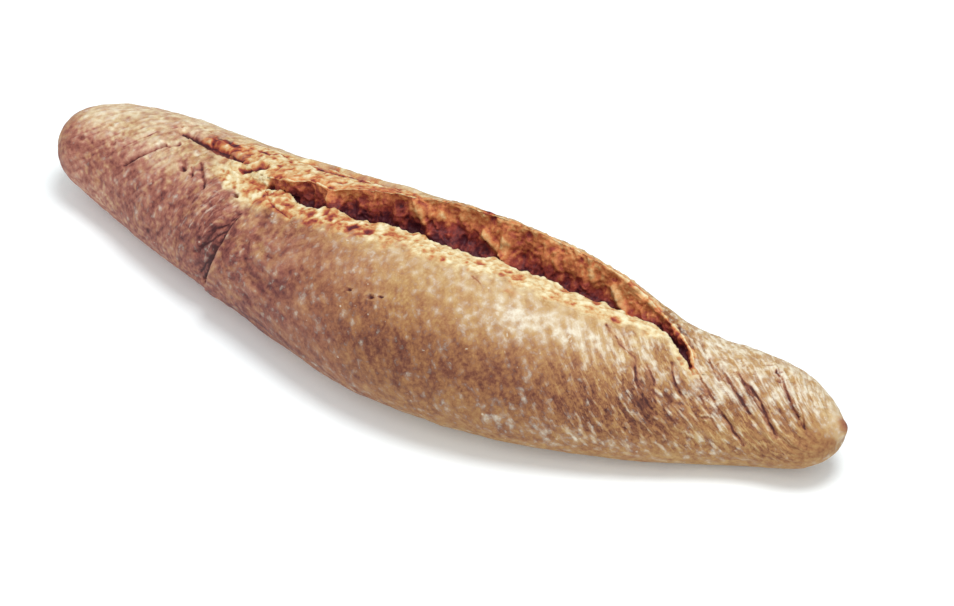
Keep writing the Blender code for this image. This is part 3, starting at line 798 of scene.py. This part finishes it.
def crustFields(station, angle, points, marks):
    # the four tones of the crust: their sums, and what no ramp or patch can say
    ear = splitAngles(station)[1]
    mottle, drift = (
        sum(share * flowNoise(station, angle, points, size, stretch, seed + 10 * k)
            for k, (size, stretch, share) in enumerate(tones[name]))
        for name, seed in (("mottle", 231), ("drift", 261)))
    marks = {**marks, "nub": bell(np.linalg.norm(points - nub["place"], axis=-1) / (2.2 * mm))}
    bakeAndShade, rose, flour, streak = (
        toneSum(name, station, angle, marks) for name in ("bakeAndShade", "rose", "flour", "streak"))
    # the ear's edge is browned, and a brown band with little flour runs along the near side
    bakeAndShade += 0.30 * bell((angle - ear) / 9.0) * splitOpen(station) * ease(station, 0.0, 0.1)
    bakeAndShade += 0.09 * bell((angle - 112) / 22.0) * ease(station, -0.1, 0.2) * ease(station, 0.8, 0.65)
    flour -= 0.09 * bell((angle - 108) / 24.0) * ease(station, -0.2, 0.1) * ease(station, 0.9, 0.7)
    # the left lobe is rosier and more mottled than the right end, which is more floury
    bakeAndShade += 0.22 * mottle * (0.44 + 0.54 * ease(station, 0.1, -0.5)) + 0.02 * softNoise(points, 13 * mm, 201)
    rosiest = ease(station, 0.3, -0.25) * (0.75 + 0.25 * ease(station, -0.1, -0.6))
    rose += rosiest * (1 - 0.7 * ease(angle, 135, 172)) + 0.12 * softNoise(points, 11 * mm, 203)
    rose += (0.18 + 0.42 * ease(station, 0.0, -0.4)) * mottle
    flour += 0.34 * drift * (0.4 + 0.5 * ease(station, 0.2, 0.5))
    flour += 0.22 * marks["rim"] * ease(station, 0.3, 0.6)
    streak += 0.50 * ease(station, 0.40, 0.62) * ease(station, 0.98, 0.93) * ease(angle, 60, 105)
    streak = streak * ease(tipRounding(station), 0.3, 0.75) * ease(angle, 25, 60)
    # even tones at the left tip, where all the angles meet
    atTip = ease(tipRounding(station), 0.75, 0.3) * (station < 0)
    bakeAndShade += (0.56 + 0.2 * mottle - bakeAndShade) * atTip
    rose += (0.6 + 0.4 * mottle - rose) * atTip
    flour += (0.14 + 0.25 * drift - flour) * atTip
    return {"bakeAndShade": bakeAndShade, "rose": rose, "flour": flour, "streak": streak, "crack": marks["crack"],
            "aside": marks["aside"]}


crust = {
    "rings": 465,
    "columns": (8, 140, 12, 45),  # sole, near side, split, far side
    "tuck": 7.0,  # degrees by which the crust stops short of the split's lip
    "farTuck": 12.0,  # and of its ear
    "undercut": 11.0,  # degrees by which the trough under the crumb reaches back under the crust
    "troughSpare": 4 * mm,  # how far the trough lies below the split's own floor
}


def crustGrid():
    # where each ring and each column of the crust lies; rings stand closer at the tips, columns
    # closer near the split
    turn = np.linspace(0, 1, crust["rings"] + 2)[1:-1]
    station = 0.5 * (turn * 2 - 1) - 0.5 * np.cos(turn * np.pi)
    lip, ear = (edge[:, None] for edge in splitAngles(station))
    sole, near, gape, far = (np.linspace(0, 1, count, endpoint=False) for count in crust["columns"])
    edge = loaf["soleEdge"]
    start = 0 * lip
    tuck, farTuck, undercut = (
        crust[name] * splitOpen(station)[:, None] for name in ("tuck", "farTuck", "undercut"))
    bands = [
        (start, start + edge, sole, False),
        (start + edge, lip - tuck, near * (1.25 - 0.25 * near), False),
        (lip - tuck - undercut, ear + farTuck + undercut, gape, True),
        (ear + farTuck, start + 360 - edge, far * (0.6 + 0.4 * far), False),
        (start + 360 - edge, start + 360, sole, False),
    ]
    return loftColumns(station, bands)


def fitToSolid(coarse):
    # gives what brings points along when the coarse loft's box is moved and stretched to fill
    # the solid's box
    low, high = coarse.min(axis=(0, 1)), coarse.max(axis=(0, 1))
    stretch = (solidHigh - solidLow) / (high - low)
    return lambda points: (points - (low + high) / 2) * stretch + (solidLow + solidHigh) / 2


def troughDepth(station, across):
    # how far the crust's trough lies below the plain loaf, under the split's own floor
    bow = np.sqrt(np.sin(np.pi * (0.12 + 0.76 * np.nan_to_num(across))))
    depth = splitOpen(station) * (splitSize(station, 3) * mm + crust["troughSpare"]) * bow
    return np.where(np.isnan(across), 0, depth)


# where bare crumb shows beside the split, in degrees
bareCrumb = {
    "edge": 3.0,  # before the lip and behind the ear at the least
    "near": 13.0,  # and before the lip along the split's length
    "far": 4.0,  # and behind the ear towards the right
    "farEdge": 207.0,  # the angle that it reaches on the crumbling far shoulder
    "rightLess": 6.0,  # how much less far it reaches behind the ear at the right end
    "broken": ((3.4, 5.0), (1.3, 3.5)),  # size in mm and reach of its broken edge's teeth
    "nearSoft": 4,
    "farSoft": 3,
}


def tornShare(station, angle, points):
    # 1 where bare crumb shows, 0 on whole crust, with a broken edge between; the slash's is a patch
    lip, ear = splitAngles(station)
    broken = sum(reach * softNoise(points, size * mm, 211 + k)
                 for k, (size, reach) in enumerate(bareCrumb["broken"]))
    edge, nearSoft, farSoft = (bareCrumb[name] for name in ("edge", "nearSoft", "farSoft"))
    nearReach = edge + bareCrumb["near"] * ease(station, -0.52, -0.40) * ease(station, 0.68, 0.52)
    near = ease(lip - angle + broken, nearReach + nearSoft, nearReach - nearSoft)
    shoulderReach = (bareCrumb["farEdge"] - ear) * ease(station, 0.10, -0.02)
    farReach = np.maximum(shoulderReach, edge + bareCrumb["far"] * ease(station, 0.0, 0.1))
    farReach = farReach - bareCrumb["rightLess"] * ease(station, 0.54, 0.62)
    far = ease(angle - ear + broken, farReach + farSoft, farReach - farSoft)
    along = ease(station + 0.002 * broken, -0.56, -0.44) * ease(station, 0.74, 0.70)
    torn = np.where(angle < lip, near, np.where(angle > ear, far, 1)) * along
    slash = blob(station, angle, (-0.53, 188), (0.09, 9))
    return np.maximum(torn, ease(slash + 0.03 * broken, 0.35, 0.7))


# how darkly bare crumb is baked, with painted shade in its depths: cream on the lips, red brown in the
# split, darkest below where browning and painted shade add up
charringAndShade = {
    "lips": 0.25,
    # darker towards the split's foot, partly browning and partly painted shade
    "depthsAndShade": 0.75,  # how much darker the split's foot is
    "foot": 0.97,  # share of that at the foot of the walls
    "farWall": (0.42, 0.57),  # how much of it the far wall's top lacks, at the left and the right
    "earEdge": 0.06,  # and the ear's edge besides
    "farRim": 0.41,  # share of it right behind the ear
    "rightEnd": 0.24,  # how much darker the split's right end is
    "reddish": 0.12,  # how much darker reddish crumb is
    "reddishSpots": 0.30,  # and its spots
    "spots": 0.08,
    "slash": 0.68,  # how much darker the slash is
    "slashStreaks": 0.45,  # and how much of that its streaks lack
    # darker pores and paler lumps follow the crumb's relief: painted shade and painted light, along with
    # browner crumb in the pits
    "pores": (0.42, 0.28),  # how much darker pores are on the lips and on the walls
    "lumps": (0.16, 0.08),  # and how much paler lumps
    "wallPalest": 0.42,
}


def crumbCharAndShade(station, angle, inside, points, crumbMarks, marks):
    # how dark bare crumb is drawn: baked and given painted shade the further down the split's walls it lies,
    # with its patches, spots, pores and lumps, the creases' painted shade and pits; and how ruddy its brown
    # is
    lip, ear = splitAngles(station)
    across, isOpen = np.nan_to_num(inside), splitOpen(station)
    before, behind = angle < lip, angle > ear
    left, right = charringAndShade["farWall"]
    farWall = left + (right - left) * ease(station, -0.02, 0.1)
    height = charringAndShade["foot"] - farWall * ease(across, 0.48, 0.82)
    height -= charringAndShade["earEdge"] * ease(across, 0.8, 1.0)
    rimTone = charringAndShade["farRim"] * np.exp(-np.maximum(angle - ear, 0) / 6.0) * behind
    wall = np.where(np.isnan(inside), rimTone, ease(across, 0.02, 0.16) * height)
    deep = isOpen * wall
    onWall = np.clip(2 * deep, 0, 1)
    rightEnd = isOpen * (across > 0.05) * (1 - ease(across, 0.75, 0.95) * ease(station, 0.64, 0.58))
    # painted shade: darker down the split's walls and in the creases, on top of the crumb's browning
    charAndShade = charringAndShade["lips"] + charringAndShade["depthsAndShade"] * deep + 0.65 * marks["shade"]
    charAndShade += charringAndShade["rightEnd"] * rightEnd * ease(station, 0.54, 0.62)
    charAndShade -= 0.12 * blob(station, angle, (-0.16, 178), (0.035, 12)) * (across > 0)
    charAndShade += 0.14 * blob(station, angle, (-0.08, 167), (0.15, 9)) * before
    charAndShade += 0.16 * blob(station, angle, (-0.29, 157), (0.05, 8))
    reddish = 1.3 * blob(station, angle, (-0.17, 163), (0.15, 12))
    reddish += 0.8 * behind * ease(station, 0.1, 0.0) + 0.4 * before * ease(station, 0.7, 0.5)
    reddish = np.clip(reddish, 0, 1) * (1 - wall)
    spots = softNoise(points, 2.2 * mm, 221) + 0.6 * softNoise(points, 1.1 * mm, 222)
    charAndShade += charringAndShade["reddish"] * reddish
    charAndShade += (charringAndShade["reddishSpots"] * reddish + charringAndShade["spots"]) * spots
    streaks = drawnNoise(np.radians(angle) * skin["girth"] / 1.3, station * halfMm / 5, 225)
    onSlash = charringAndShade["slash"] - charringAndShade["slashStreaks"] * ease(streaks, 0.5, 1.7)
    charAndShade += blob(station, angle, (-0.53, 191), (0.09, 7)) * onSlash
    (lipPores, wallPores), (lipLumps, wallLumps) = charringAndShade["pores"], charringAndShade["lumps"]
    charAndShade += crumbMarks["pore"] * (lipPores + (wallPores - lipPores) * onWall) - crumbMarks["pale"] * onWall
    charAndShade -= crumbMarks["lump"] * (lipLumps + (wallLumps - lipLumps) * onWall)
    charAndShade = np.maximum(charAndShade, charringAndShade["wallPalest"] * onWall)
    inSlash = np.clip(2 * blob(station, angle, (-0.54, 190), (0.09, 9)), 0, 1)
    return charAndShade + 0.5 * marks["pit"] - 0.08 * marks["rim"], np.maximum(np.clip(4 * deep, 0, 1), inSlash)


def allTones(station, angle, inside, points, crumbMarks, marks):
    # what the material reads at each point: the crust's tones and the bare crumb's
    fields = crustFields(station, angle, points, marks)
    fields["torn"] = tornShare(station, angle, points)
    fields["charAndShade"], fields["ruddy"] = crumbCharAndShade(station, angle, inside, points, crumbMarks, marks)
    return fields


def makeCrust():
    # the loft with its relief, sunk under the crumb and in a trough under the split, and fitted
    # to the solid's box
    station, angle, across = crustGrid()
    outside = np.full(angle.shape, np.nan)
    points = shapePoints(station, angle, outside)
    normals = outward(points)
    height, shade = coarseRelief(station, angle, outside, points)
    solidLike = points + normals * height[..., None]
    solidLike[..., 2] = np.maximum(solidLike[..., 2], 0)
    fit = fitToSolid(solidLike)
    cover = ease(tornCover(station, angle, points), 0.5, 1)
    trough = np.where(np.isnan(across), 0, splitOpen(station))
    skinHeight, marks = skinRelief(station, angle, points)
    height = (height + skinHeight * (1 - cover)) * (1 - trough)
    noCrumb = dict.fromkeys(("pore", "lump", "pale"), 0)
    fields = allTones(station, angle, outside, points, noCrumb, {**marks, "shade": shade})
    fields["torn"], fields["ruddy"] = (np.maximum(fields[name], trough) for name in ("torn", "ruddy"))
    fields["charAndShade"] += (0.95 - fields["charAndShade"]) * trough
    points = points + normals * height[..., None]
    points += inward(angle) * (crumb["sunk"] * cover + troughDepth(station, across))[..., None]
    points[..., 2] = np.maximum(points[..., 2], 0)
    return loopedMesh("loaf_crust", fit(points), fields, flowPlace(station, angle)), fit


def crumbGrid():
    # where each ring and column of the torn band lies: before the lip, across the split, behind
    station = np.linspace(crumb["start"], crumb["end"], crumb["rings"])
    lip, ear = (edge[:, None] for edge in splitAngles(station))
    before, under, wall, behind, below = crumb["columns"]
    far = farWidth(station)[:, None]
    gape = np.concatenate([
        np.linspace(0, 0.3, under, endpoint=False), np.linspace(0.3, 1, wall, endpoint=False)])
    bands = [
        (lip - crumb["nearReach"], lip, np.linspace(0, 1, before, endpoint=False), False),
        (lip, ear, gape, True),
        (ear, ear + far, np.linspace(0, 1, behind), False),
    ]
    return loftColumns(station, bands)


def crumbUnderside(station):
    # back under the torn band from its far edge to its near edge, sunk below the split's floor
    lip, ear = (edge[:, None] for edge in splitAngles(station))
    back = np.linspace(0, 1, crumb["columns"][4] + 2)[1:-1][None, :]
    farAngle = ear + farWidth(station)[:, None]
    angle = farAngle + (lip - crumb["nearReach"] - farAngle) * back
    column = np.broadcast_to(station[:, None], angle.shape)
    points = plainLoaf(column, angle)
    sunk = crumb["thickness"] + (splitSize(column, 3) * mm + 1 * mm) * np.sqrt(np.sin(np.pi * back))
    return points + inward(angle) * sunk[..., None]


def makeCrumb(fit):
    # the torn band with its relief, its rim dipped under the crust, closed by an underside
    station, angle, inside = crumbGrid()
    points = shapePoints(station, angle, inside)
    cover = tornCover(station, angle, points)
    normals = outward(points)
    normals[:, 0], normals[:, -1] = normals[:, 1], normals[:, -2]
    height, shade = coarseRelief(station, angle, inside, points)
    fine, crumbMarks = crumbRelief(station, angle, inside, points)
    skinHeight, marks = skinRelief(station, angle, points)
    isCrumb, onSkin = ease(cover, 0.3, 1), ease(cover, 1, 0.5)
    cracked = marks["cracked"] * mm * (1 - onSkin) * np.isnan(inside)
    height = height + fine * isCrumb + skinHeight * onSkin + cracked
    height -= 1.0 * mm * ease(cover, 0.5, 0)
    shaped = raggedEdge(station, inside, angle, points) + normals * height[..., None]
    rings = np.concatenate([shaped, crumbUnderside(station[:, 0])], axis=1)
    crumbMarks = {name: values * isCrumb for name, values in crumbMarks.items()}
    fields = allTones(station, angle, inside, points, crumbMarks, {**marks, "shade": shade})
    # the underside goes on as the far edge is
    spare = ((0, 0), (0, crumb["columns"][4]))
    fields = {name: np.pad(values, spare, "edge") for name, values in fields.items()}
    flow = [np.pad(part, spare, "edge") for part in flowPlace(station, angle)]
    return loopedMesh("torn_crumb", fit(rings), fields, flow)


def srgb(hexColour):
    # sRGB hex to linear red, green, blue, alpha
    parts = np.array([int(hexColour[i:i + 2], 16) for i in (0, 2, 4)]) / 255
    linear = np.where(parts <= 0.04045, parts / 12.92, ((parts + 0.055) / 1.055) ** 2.4)
    return (*linear.tolist(), 1.0)


def addNode(tree, kind, settings=None, links=None, out=None):
    # adds a node: a setting is a property or an unlinked input, a link is an input's source
    node = tree.nodes.new(kind)
    for key, value in (settings or {}).items():
        sockets = [socket for socket in node.inputs if key in (socket.identifier, socket.name)]
        if sockets:
            sockets[0].default_value = value
        else:
            setattr(node, key, value)
    for key, source in (links or {}).items():
        target = next(socket for socket in node.inputs if key in (socket.identifier, socket.name))
        tree.links.new(source, target)
    return node if out is None else node.outputs[out]


def newMaterial(name):
    # a material with an empty node tree
    material = bpy.data.materials.new(name)
    material.use_nodes = True
    material.node_tree.nodes.clear()
    return material, material.node_tree


crustLook = {
    # tones from 0, palest, to 1, darkest, and the colours there: baked crust in a golden and in a
    # rosy brown, and bare crumb from cream to nearly burnt, in a plain and in a ruddy brown
    "crustStops": (0.0, 0.25, 0.5, 0.7, 0.85, 1.0),
    "golden": ("E8DCC0", "CDB68C", "B08A58", "95663F", "70402B", "45201A"),
    "rosy": ("E8D6C2", "CBA58C", "AA7260", "8A5044", "683531", "421B1D"),
    "crumbStops": (0.0, 0.2, 0.4, 0.55, 0.75, 1.0),
    "crumb": ("EAE0BE", "D9C89C", "C79E68", "B66C42", "8E3A30", "4E1821"),
    "ruddy": ("EAE0BE", "DCC49C", "CE9C66", "C27444", "90392C", "4A1520"),
    "flour": "E6E1CE",
    # noises: size in mm, detail and roughness
    "bran": (1.1, 4.0, 0.62),  # the speckle of bran and browned starch
    "mottle": (3.4, 4.0, 0.62),
    "dust": (2.2, 4.0, 0.62),  # the film of flour
    "grain": (2.0, 2.0, 0.5),  # grains of flour that lie apart
    "wrinkle": (1.3, 3.0, 0.55),  # fine wrinkles, drawn out along the skin's flow
    "branStrength": 0.55,  # how far the speckle shifts the tone
    "mottleStrength": 0.32,
    "wrinkleStretch": 4.0,  # how many times longer than wide a fine wrinkle is
    # the fine wrinkles' tone follows their bump, darker on its low side: painted shade
    "wrinkleTone": 1.1,
    "wrinkleFlour": 1.5,
    # the thin dark lines stand for the shade in fine creases: painted shade
    "creaseWidth": 0.045,  # thin dark lines run where the wrinkles' noise is this near its middle
    "creaseTone": 0.28,
    # a thin crack's darkness is painted shade, drawn finer than the mesh's groove
    "crackTone": 0.44,  # how much darker a thin crack is than the crust
    "crackSharp": 0.15,  # half widths from its middle over which a thin crack is darkest
    "filmFlour": 0.5,  # the film lies where the dust and this share of the flour add up to enough
    "filmFrom": 0.54,  # where it starts and where it is whole
    "filmTo": 1.04,
    "filmShare": 0.88,
    "fleckFlour": 0.2,  # the same for the grains, which show as flecks
    "fleckFrom": 0.74,
    "fleckTo": 0.82,
    "fleckShare": 0.5,
    "crumbSheds": 1.0,  # how much less flour stays on bare crumb
    "bumpDepth": 0.18,  # mm
    "wrinkleBump": 2.0,  # how high the fine wrinkles stand, against the bran
    "roughness": 0.62,
    "flourRoughness": 0.95,
}


def toneRamp(tree, stops, colours, tone):
    # turns a tone into a colour
    ramp = addNode(tree, "ShaderNodeValToRGB", links={"Fac": tone})
    elements = ramp.color_ramp.elements
    while len(elements) < len(stops):
        elements.new(0.5)
    for element, position, colour in zip(elements, stops, colours):
        element.position, element.color = position, srgb(colour)
    return ramp.outputs["Color"]


def bakedCrust():
    # wheat crust baked in a deck oven: matt, speckled with bran, dusted with flour; where it tore open, the
    # bare crumb is cream on its lips and red brown inside; its creases, cracks, pits, pores and the split's
    # foot carry painted shade
    material, tree = newMaterial("baked wheat crust")
    look = crustLook
    place = addNode(tree, "ShaderNodeTexCoord", out="Object")
    flow = addNode(tree, "ShaderNodeUVMap", {"uv_map": "flow"}, out="UV")
    drawn = addNode(tree, "ShaderNodeMapping", {"Scale": (1, 1 / look["wrinkleStretch"], 1)},
                    {"Vector": flow}, 0)
    value = {name: addNode(tree, "ShaderNodeAttribute", {"attribute_name": name}, out="Fac")
             for name in ("bakeAndShade", "rose", "flour", "torn", "charAndShade", "ruddy", "streak", "crack", "aside")}
    for name in ("bran", "mottle", "dust", "grain", "wrinkle"):
        size, detail, roughness = look[name]
        value[name] = addNode(
            tree, "ShaderNodeTexNoise", {"Scale": 1 / (size * mm), "Detail": detail, "Roughness": roughness},
            {"Vector": drawn if name == "wrinkle" else place}, "Fac")
    # each step works out one more value: its name, what it does, and its terms, which are values
    # by name or numbers; a smooth step's are the value, its two bounds, and its height
    branMiddle = -0.5 * (look["branStrength"] + look["mottleStrength"])
    steps = (
        # the speckle
        ("branPart", "MULTIPLY_ADD", "bran", look["branStrength"], branMiddle),
        ("speckle", "MULTIPLY_ADD", "mottle", look["mottleStrength"], "branPart"),
        # fine wrinkles, darker on their bump's low side, and the thin dark lines along them: painted shade
        ("centred", "SUBTRACT", "wrinkle", 0.5),
        ("wave", "MULTIPLY", "centred", "streak"),
        ("off", "ABSOLUTE", "centred"),
        ("line", "SMOOTHSTEP", "off", look["creaseWidth"], 0.0, look["creaseTone"]),
        ("creased", "MULTIPLY_ADD", "line", "streak", "bakeAndShade"),
        ("waved", "MULTIPLY_ADD", "wave", -look["wrinkleTone"], "creased"),
        # thin cracks, darkened with painted shade
        ("fromCrack", "ABSOLUTE", "aside"),
        ("inCrack", "SMOOTHSTEP", "fromCrack", 1.0, look["crackSharp"], 1.0),
        ("cracked", "MULTIPLY", "inCrack", "crack"),
        ("shifted", "MULTIPLY_ADD", "cracked", look["crackTone"], "speckle"),
        ("crustTone", "ADD", "waved", "shifted"),
        ("crumbTone", "ADD", "charAndShade", "shifted"),
        # flour, as a film and as grains, on whole crust and outside the cracks
        ("drifted", "MULTIPLY_ADD", "wave", look["wrinkleFlour"], "dust"),
        ("settled", "MULTIPLY_ADD", "flour", look["filmFlour"], "drifted"),
        ("film", "SMOOTHSTEP", "settled", look["filmFrom"], look["filmTo"], look["filmShare"]),
        ("sprinkled", "MULTIPLY_ADD", "flour", look["fleckFlour"], "grain"),
        ("fleck", "SMOOTHSTEP", "sprinkled", look["fleckFrom"], look["fleckTo"], look["fleckShare"]),
        ("dusted", "MAXIMUM", "film", "fleck"),
        ("kept", "MULTIPLY_ADD", "torn", -look["crumbSheds"], 1.0),
        ("onWhole", "MULTIPLY", "dusted", "kept"),
        ("white", "SUBTRACT", "onWhole", "cracked"),  # clamped: there is no less than no flour
        # the bump
        ("floured", "ADD", "bran", "white"),
        ("relief", "MULTIPLY_ADD", "wave", look["wrinkleBump"], "floured"),
    )
    for name, what, *terms in steps:
        if what == "SMOOTHSTEP":
            kind, settings = "ShaderNodeMapRange", {"interpolation_type": what}
            sockets = ("Value", "From Min", "From Max", "To Max")
        else:
            kind, settings = "ShaderNodeMath", {"operation": what, "use_clamp": name == "white"}
            sockets = ("Value", "Value_001", "Value_002")
        named = {socket: term for socket, term in zip(sockets, terms) if isinstance(term, str)}
        settings.update({socket: term for socket, term in zip(sockets, terms) if socket not in named})
        links = {socket: value[term] for socket, term in named.items()}
        value[name] = addNode(tree, kind, settings, links, 0)
    # two browns for the crust and two for bare crumb, mixed by how rosy and how ruddy they are;
    # a mix's colour is its output number 2
    brown, tornTone = (
        addNode(tree, "ShaderNodeMix", {"data_type": "RGBA"}, {
            "Factor_Float": value[share],
            "A_Color": toneRamp(tree, look[stops], look[plain], value[tone]),
            "B_Color": toneRamp(tree, look[stops], look[red], value[tone])}, 2)
        for share, stops, plain, red, tone in (
            ("rose", "crustStops", "golden", "rosy", "crustTone"),
            ("ruddy", "crumbStops", "crumb", "ruddy", "crumbTone")))
    bare = addNode(tree, "ShaderNodeMix", {"data_type": "RGBA"},
                   {"Factor_Float": value["torn"], "A_Color": brown, "B_Color": tornTone}, 2)
    colour = addNode(tree, "ShaderNodeMix", {"data_type": "RGBA", "B_Color": srgb(look["flour"])},
                     {"Factor_Float": value["white"], "A_Color": bare}, 2)
    rough = addNode(tree, "ShaderNodeMapRange",
                    {"To Min": look["roughness"], "To Max": look["flourRoughness"]},
                    {"Value": value["white"]}, 0)
    bump = addNode(tree, "ShaderNodeBump", {"Strength": 0.7, "Distance": look["bumpDepth"] * mm},
                   {"Height": value["relief"]}, 0)
    shader = addNode(tree, "ShaderNodeBsdfPrincipled", {"IOR": 1.45, "Specular IOR Level": 0.35},
                     {"Base Color": colour, "Roughness": rough, "Normal": bump}, 0)
    addNode(tree, "ShaderNodeOutputMaterial", links={"Surface": shader})
    return material


studio = {
    "azimuth": 34.5,  # degrees round from the loaf's front
    "elevation": 35.0,
    "target": Vector((0.02017, 0.00860, 0.0189)),  # m, the middle of the picture
    "distance": 1.122,  # m from the target
    "lens": 150.0,  # mm
    "sensor": 36.0,
}


def direction(azimuth, elevation):
    # the unit vector towards a place so many degrees round from the front and up from the table
    azimuth, elevation = math.radians(azimuth), math.radians(elevation)
    return Vector((math.sin(azimuth) * math.cos(elevation), -math.cos(azimuth) * math.cos(elevation),
                   math.sin(elevation)))


def placeCamera():
    # on a line back from the target, with the picture's right side level
    back = direction(studio["azimuth"], studio["elevation"])
    right = Vector((math.cos(math.radians(studio["azimuth"])), math.sin(math.radians(studio["azimuth"])), 0))
    turned = Matrix((right, back.cross(right), back)).transposed().to_4x4()
    turned.translation = studio["target"] + back * studio["distance"]
    camera = bpy.data.objects.new("camera", bpy.data.cameras.new("camera"))
    camera.data.lens, camera.data.sensor_width = studio["lens"], studio["sensor"]
    camera.matrix_world = turned
    bpy.context.scene.collection.objects.link(camera)
    bpy.context.scene.camera = camera


lights = {
    # name: azimuth, elevation, distance m, size m, power W
    "overhead": (80.0, 78.0, 1.3, 0.6, 10.4),
    "front": (20.0, 45.0, 1.6, 1.2, 6.2),
    "sky": 0.57,  # strength of the white sky
}


def placeLights():
    # two round lamps that face the middle of the table, and a white sky
    for name in ("overhead", "front"):
        azimuth, elevation, distance, size, power = lights[name]
        lamp = bpy.data.lights.new(name, "AREA")
        lamp.shape, lamp.size, lamp.energy = "DISK", size, power
        toward = direction(azimuth, elevation)
        holder = bpy.data.objects.new(name, lamp)
        holder.location = toward * distance
        holder.rotation_euler = toward.to_track_quat("Z", "Y").to_euler()
        bpy.context.scene.collection.objects.link(holder)
    world = bpy.data.worlds.new("white studio")
    world.use_nodes = True
    world.node_tree.nodes["Background"].inputs["Color"].default_value = srgb("FFFFFF")
    world.node_tree.nodes["Background"].inputs["Strength"].default_value = lights["sky"]
    bpy.context.scene.world = world
    bpy.context.scene.view_settings.view_transform = "Standard"


tableTop = {
    "side": 3.0,  # m from its middle to each edge
    "colour": "EAF1F3",
    "glow": 0.13,  # it is a light box turned low
}


def makeTable():
    # white paper, matt, a little bluish and lit from below
    side = tableTop["side"]
    mesh = bpy.data.meshes.new("table")
    corners = [(-side, -side, 0), (side, -side, 0), (side, side, 0), (-side, side, 0)]
    mesh.from_pydata(corners, [], [(0, 1, 2, 3)])
    table = bpy.data.objects.new("table", mesh)
    bpy.context.scene.collection.objects.link(table)
    material, tree = newMaterial("white paper")
    shader = addNode(tree, "ShaderNodeBsdfPrincipled",
                     {"Base Color": srgb(tableTop["colour"]), "Roughness": 0.9, "Specular IOR Level": 0.2,
                      "Emission Color": srgb("FFFFFF"), "Emission Strength": tableTop["glow"]}, out=0)
    addNode(tree, "ShaderNodeOutputMaterial", links={"Surface": shader})
    mesh.materials.append(material)
    table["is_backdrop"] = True


loafCrust, fit = makeCrust()
print("crust made", len(loafCrust.data.polygons))
tornCrumb = makeCrumb(fit)
print("crumb made", len(tornCrumb.data.polygons))
crustFinish = bakedCrust()
for piece in (loafCrust, tornCrumb):
    piece.data.materials.append(crustFinish)
    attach(piece, "root")
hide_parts("baguette")
print("crust finish made", len(crustFinish.node_tree.nodes))
placeCamera()
placeLights()
makeTable()
print("camera, lights and table placed")

boxes = {"cad": [list(corner) for corner in cadBox], "visual": [list(corner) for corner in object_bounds()]}
rounded = {name: [[round(v / mm, 1) for v in corner] for corner in box] for name, box in boxes.items()}
print("boxes in mm", rounded)
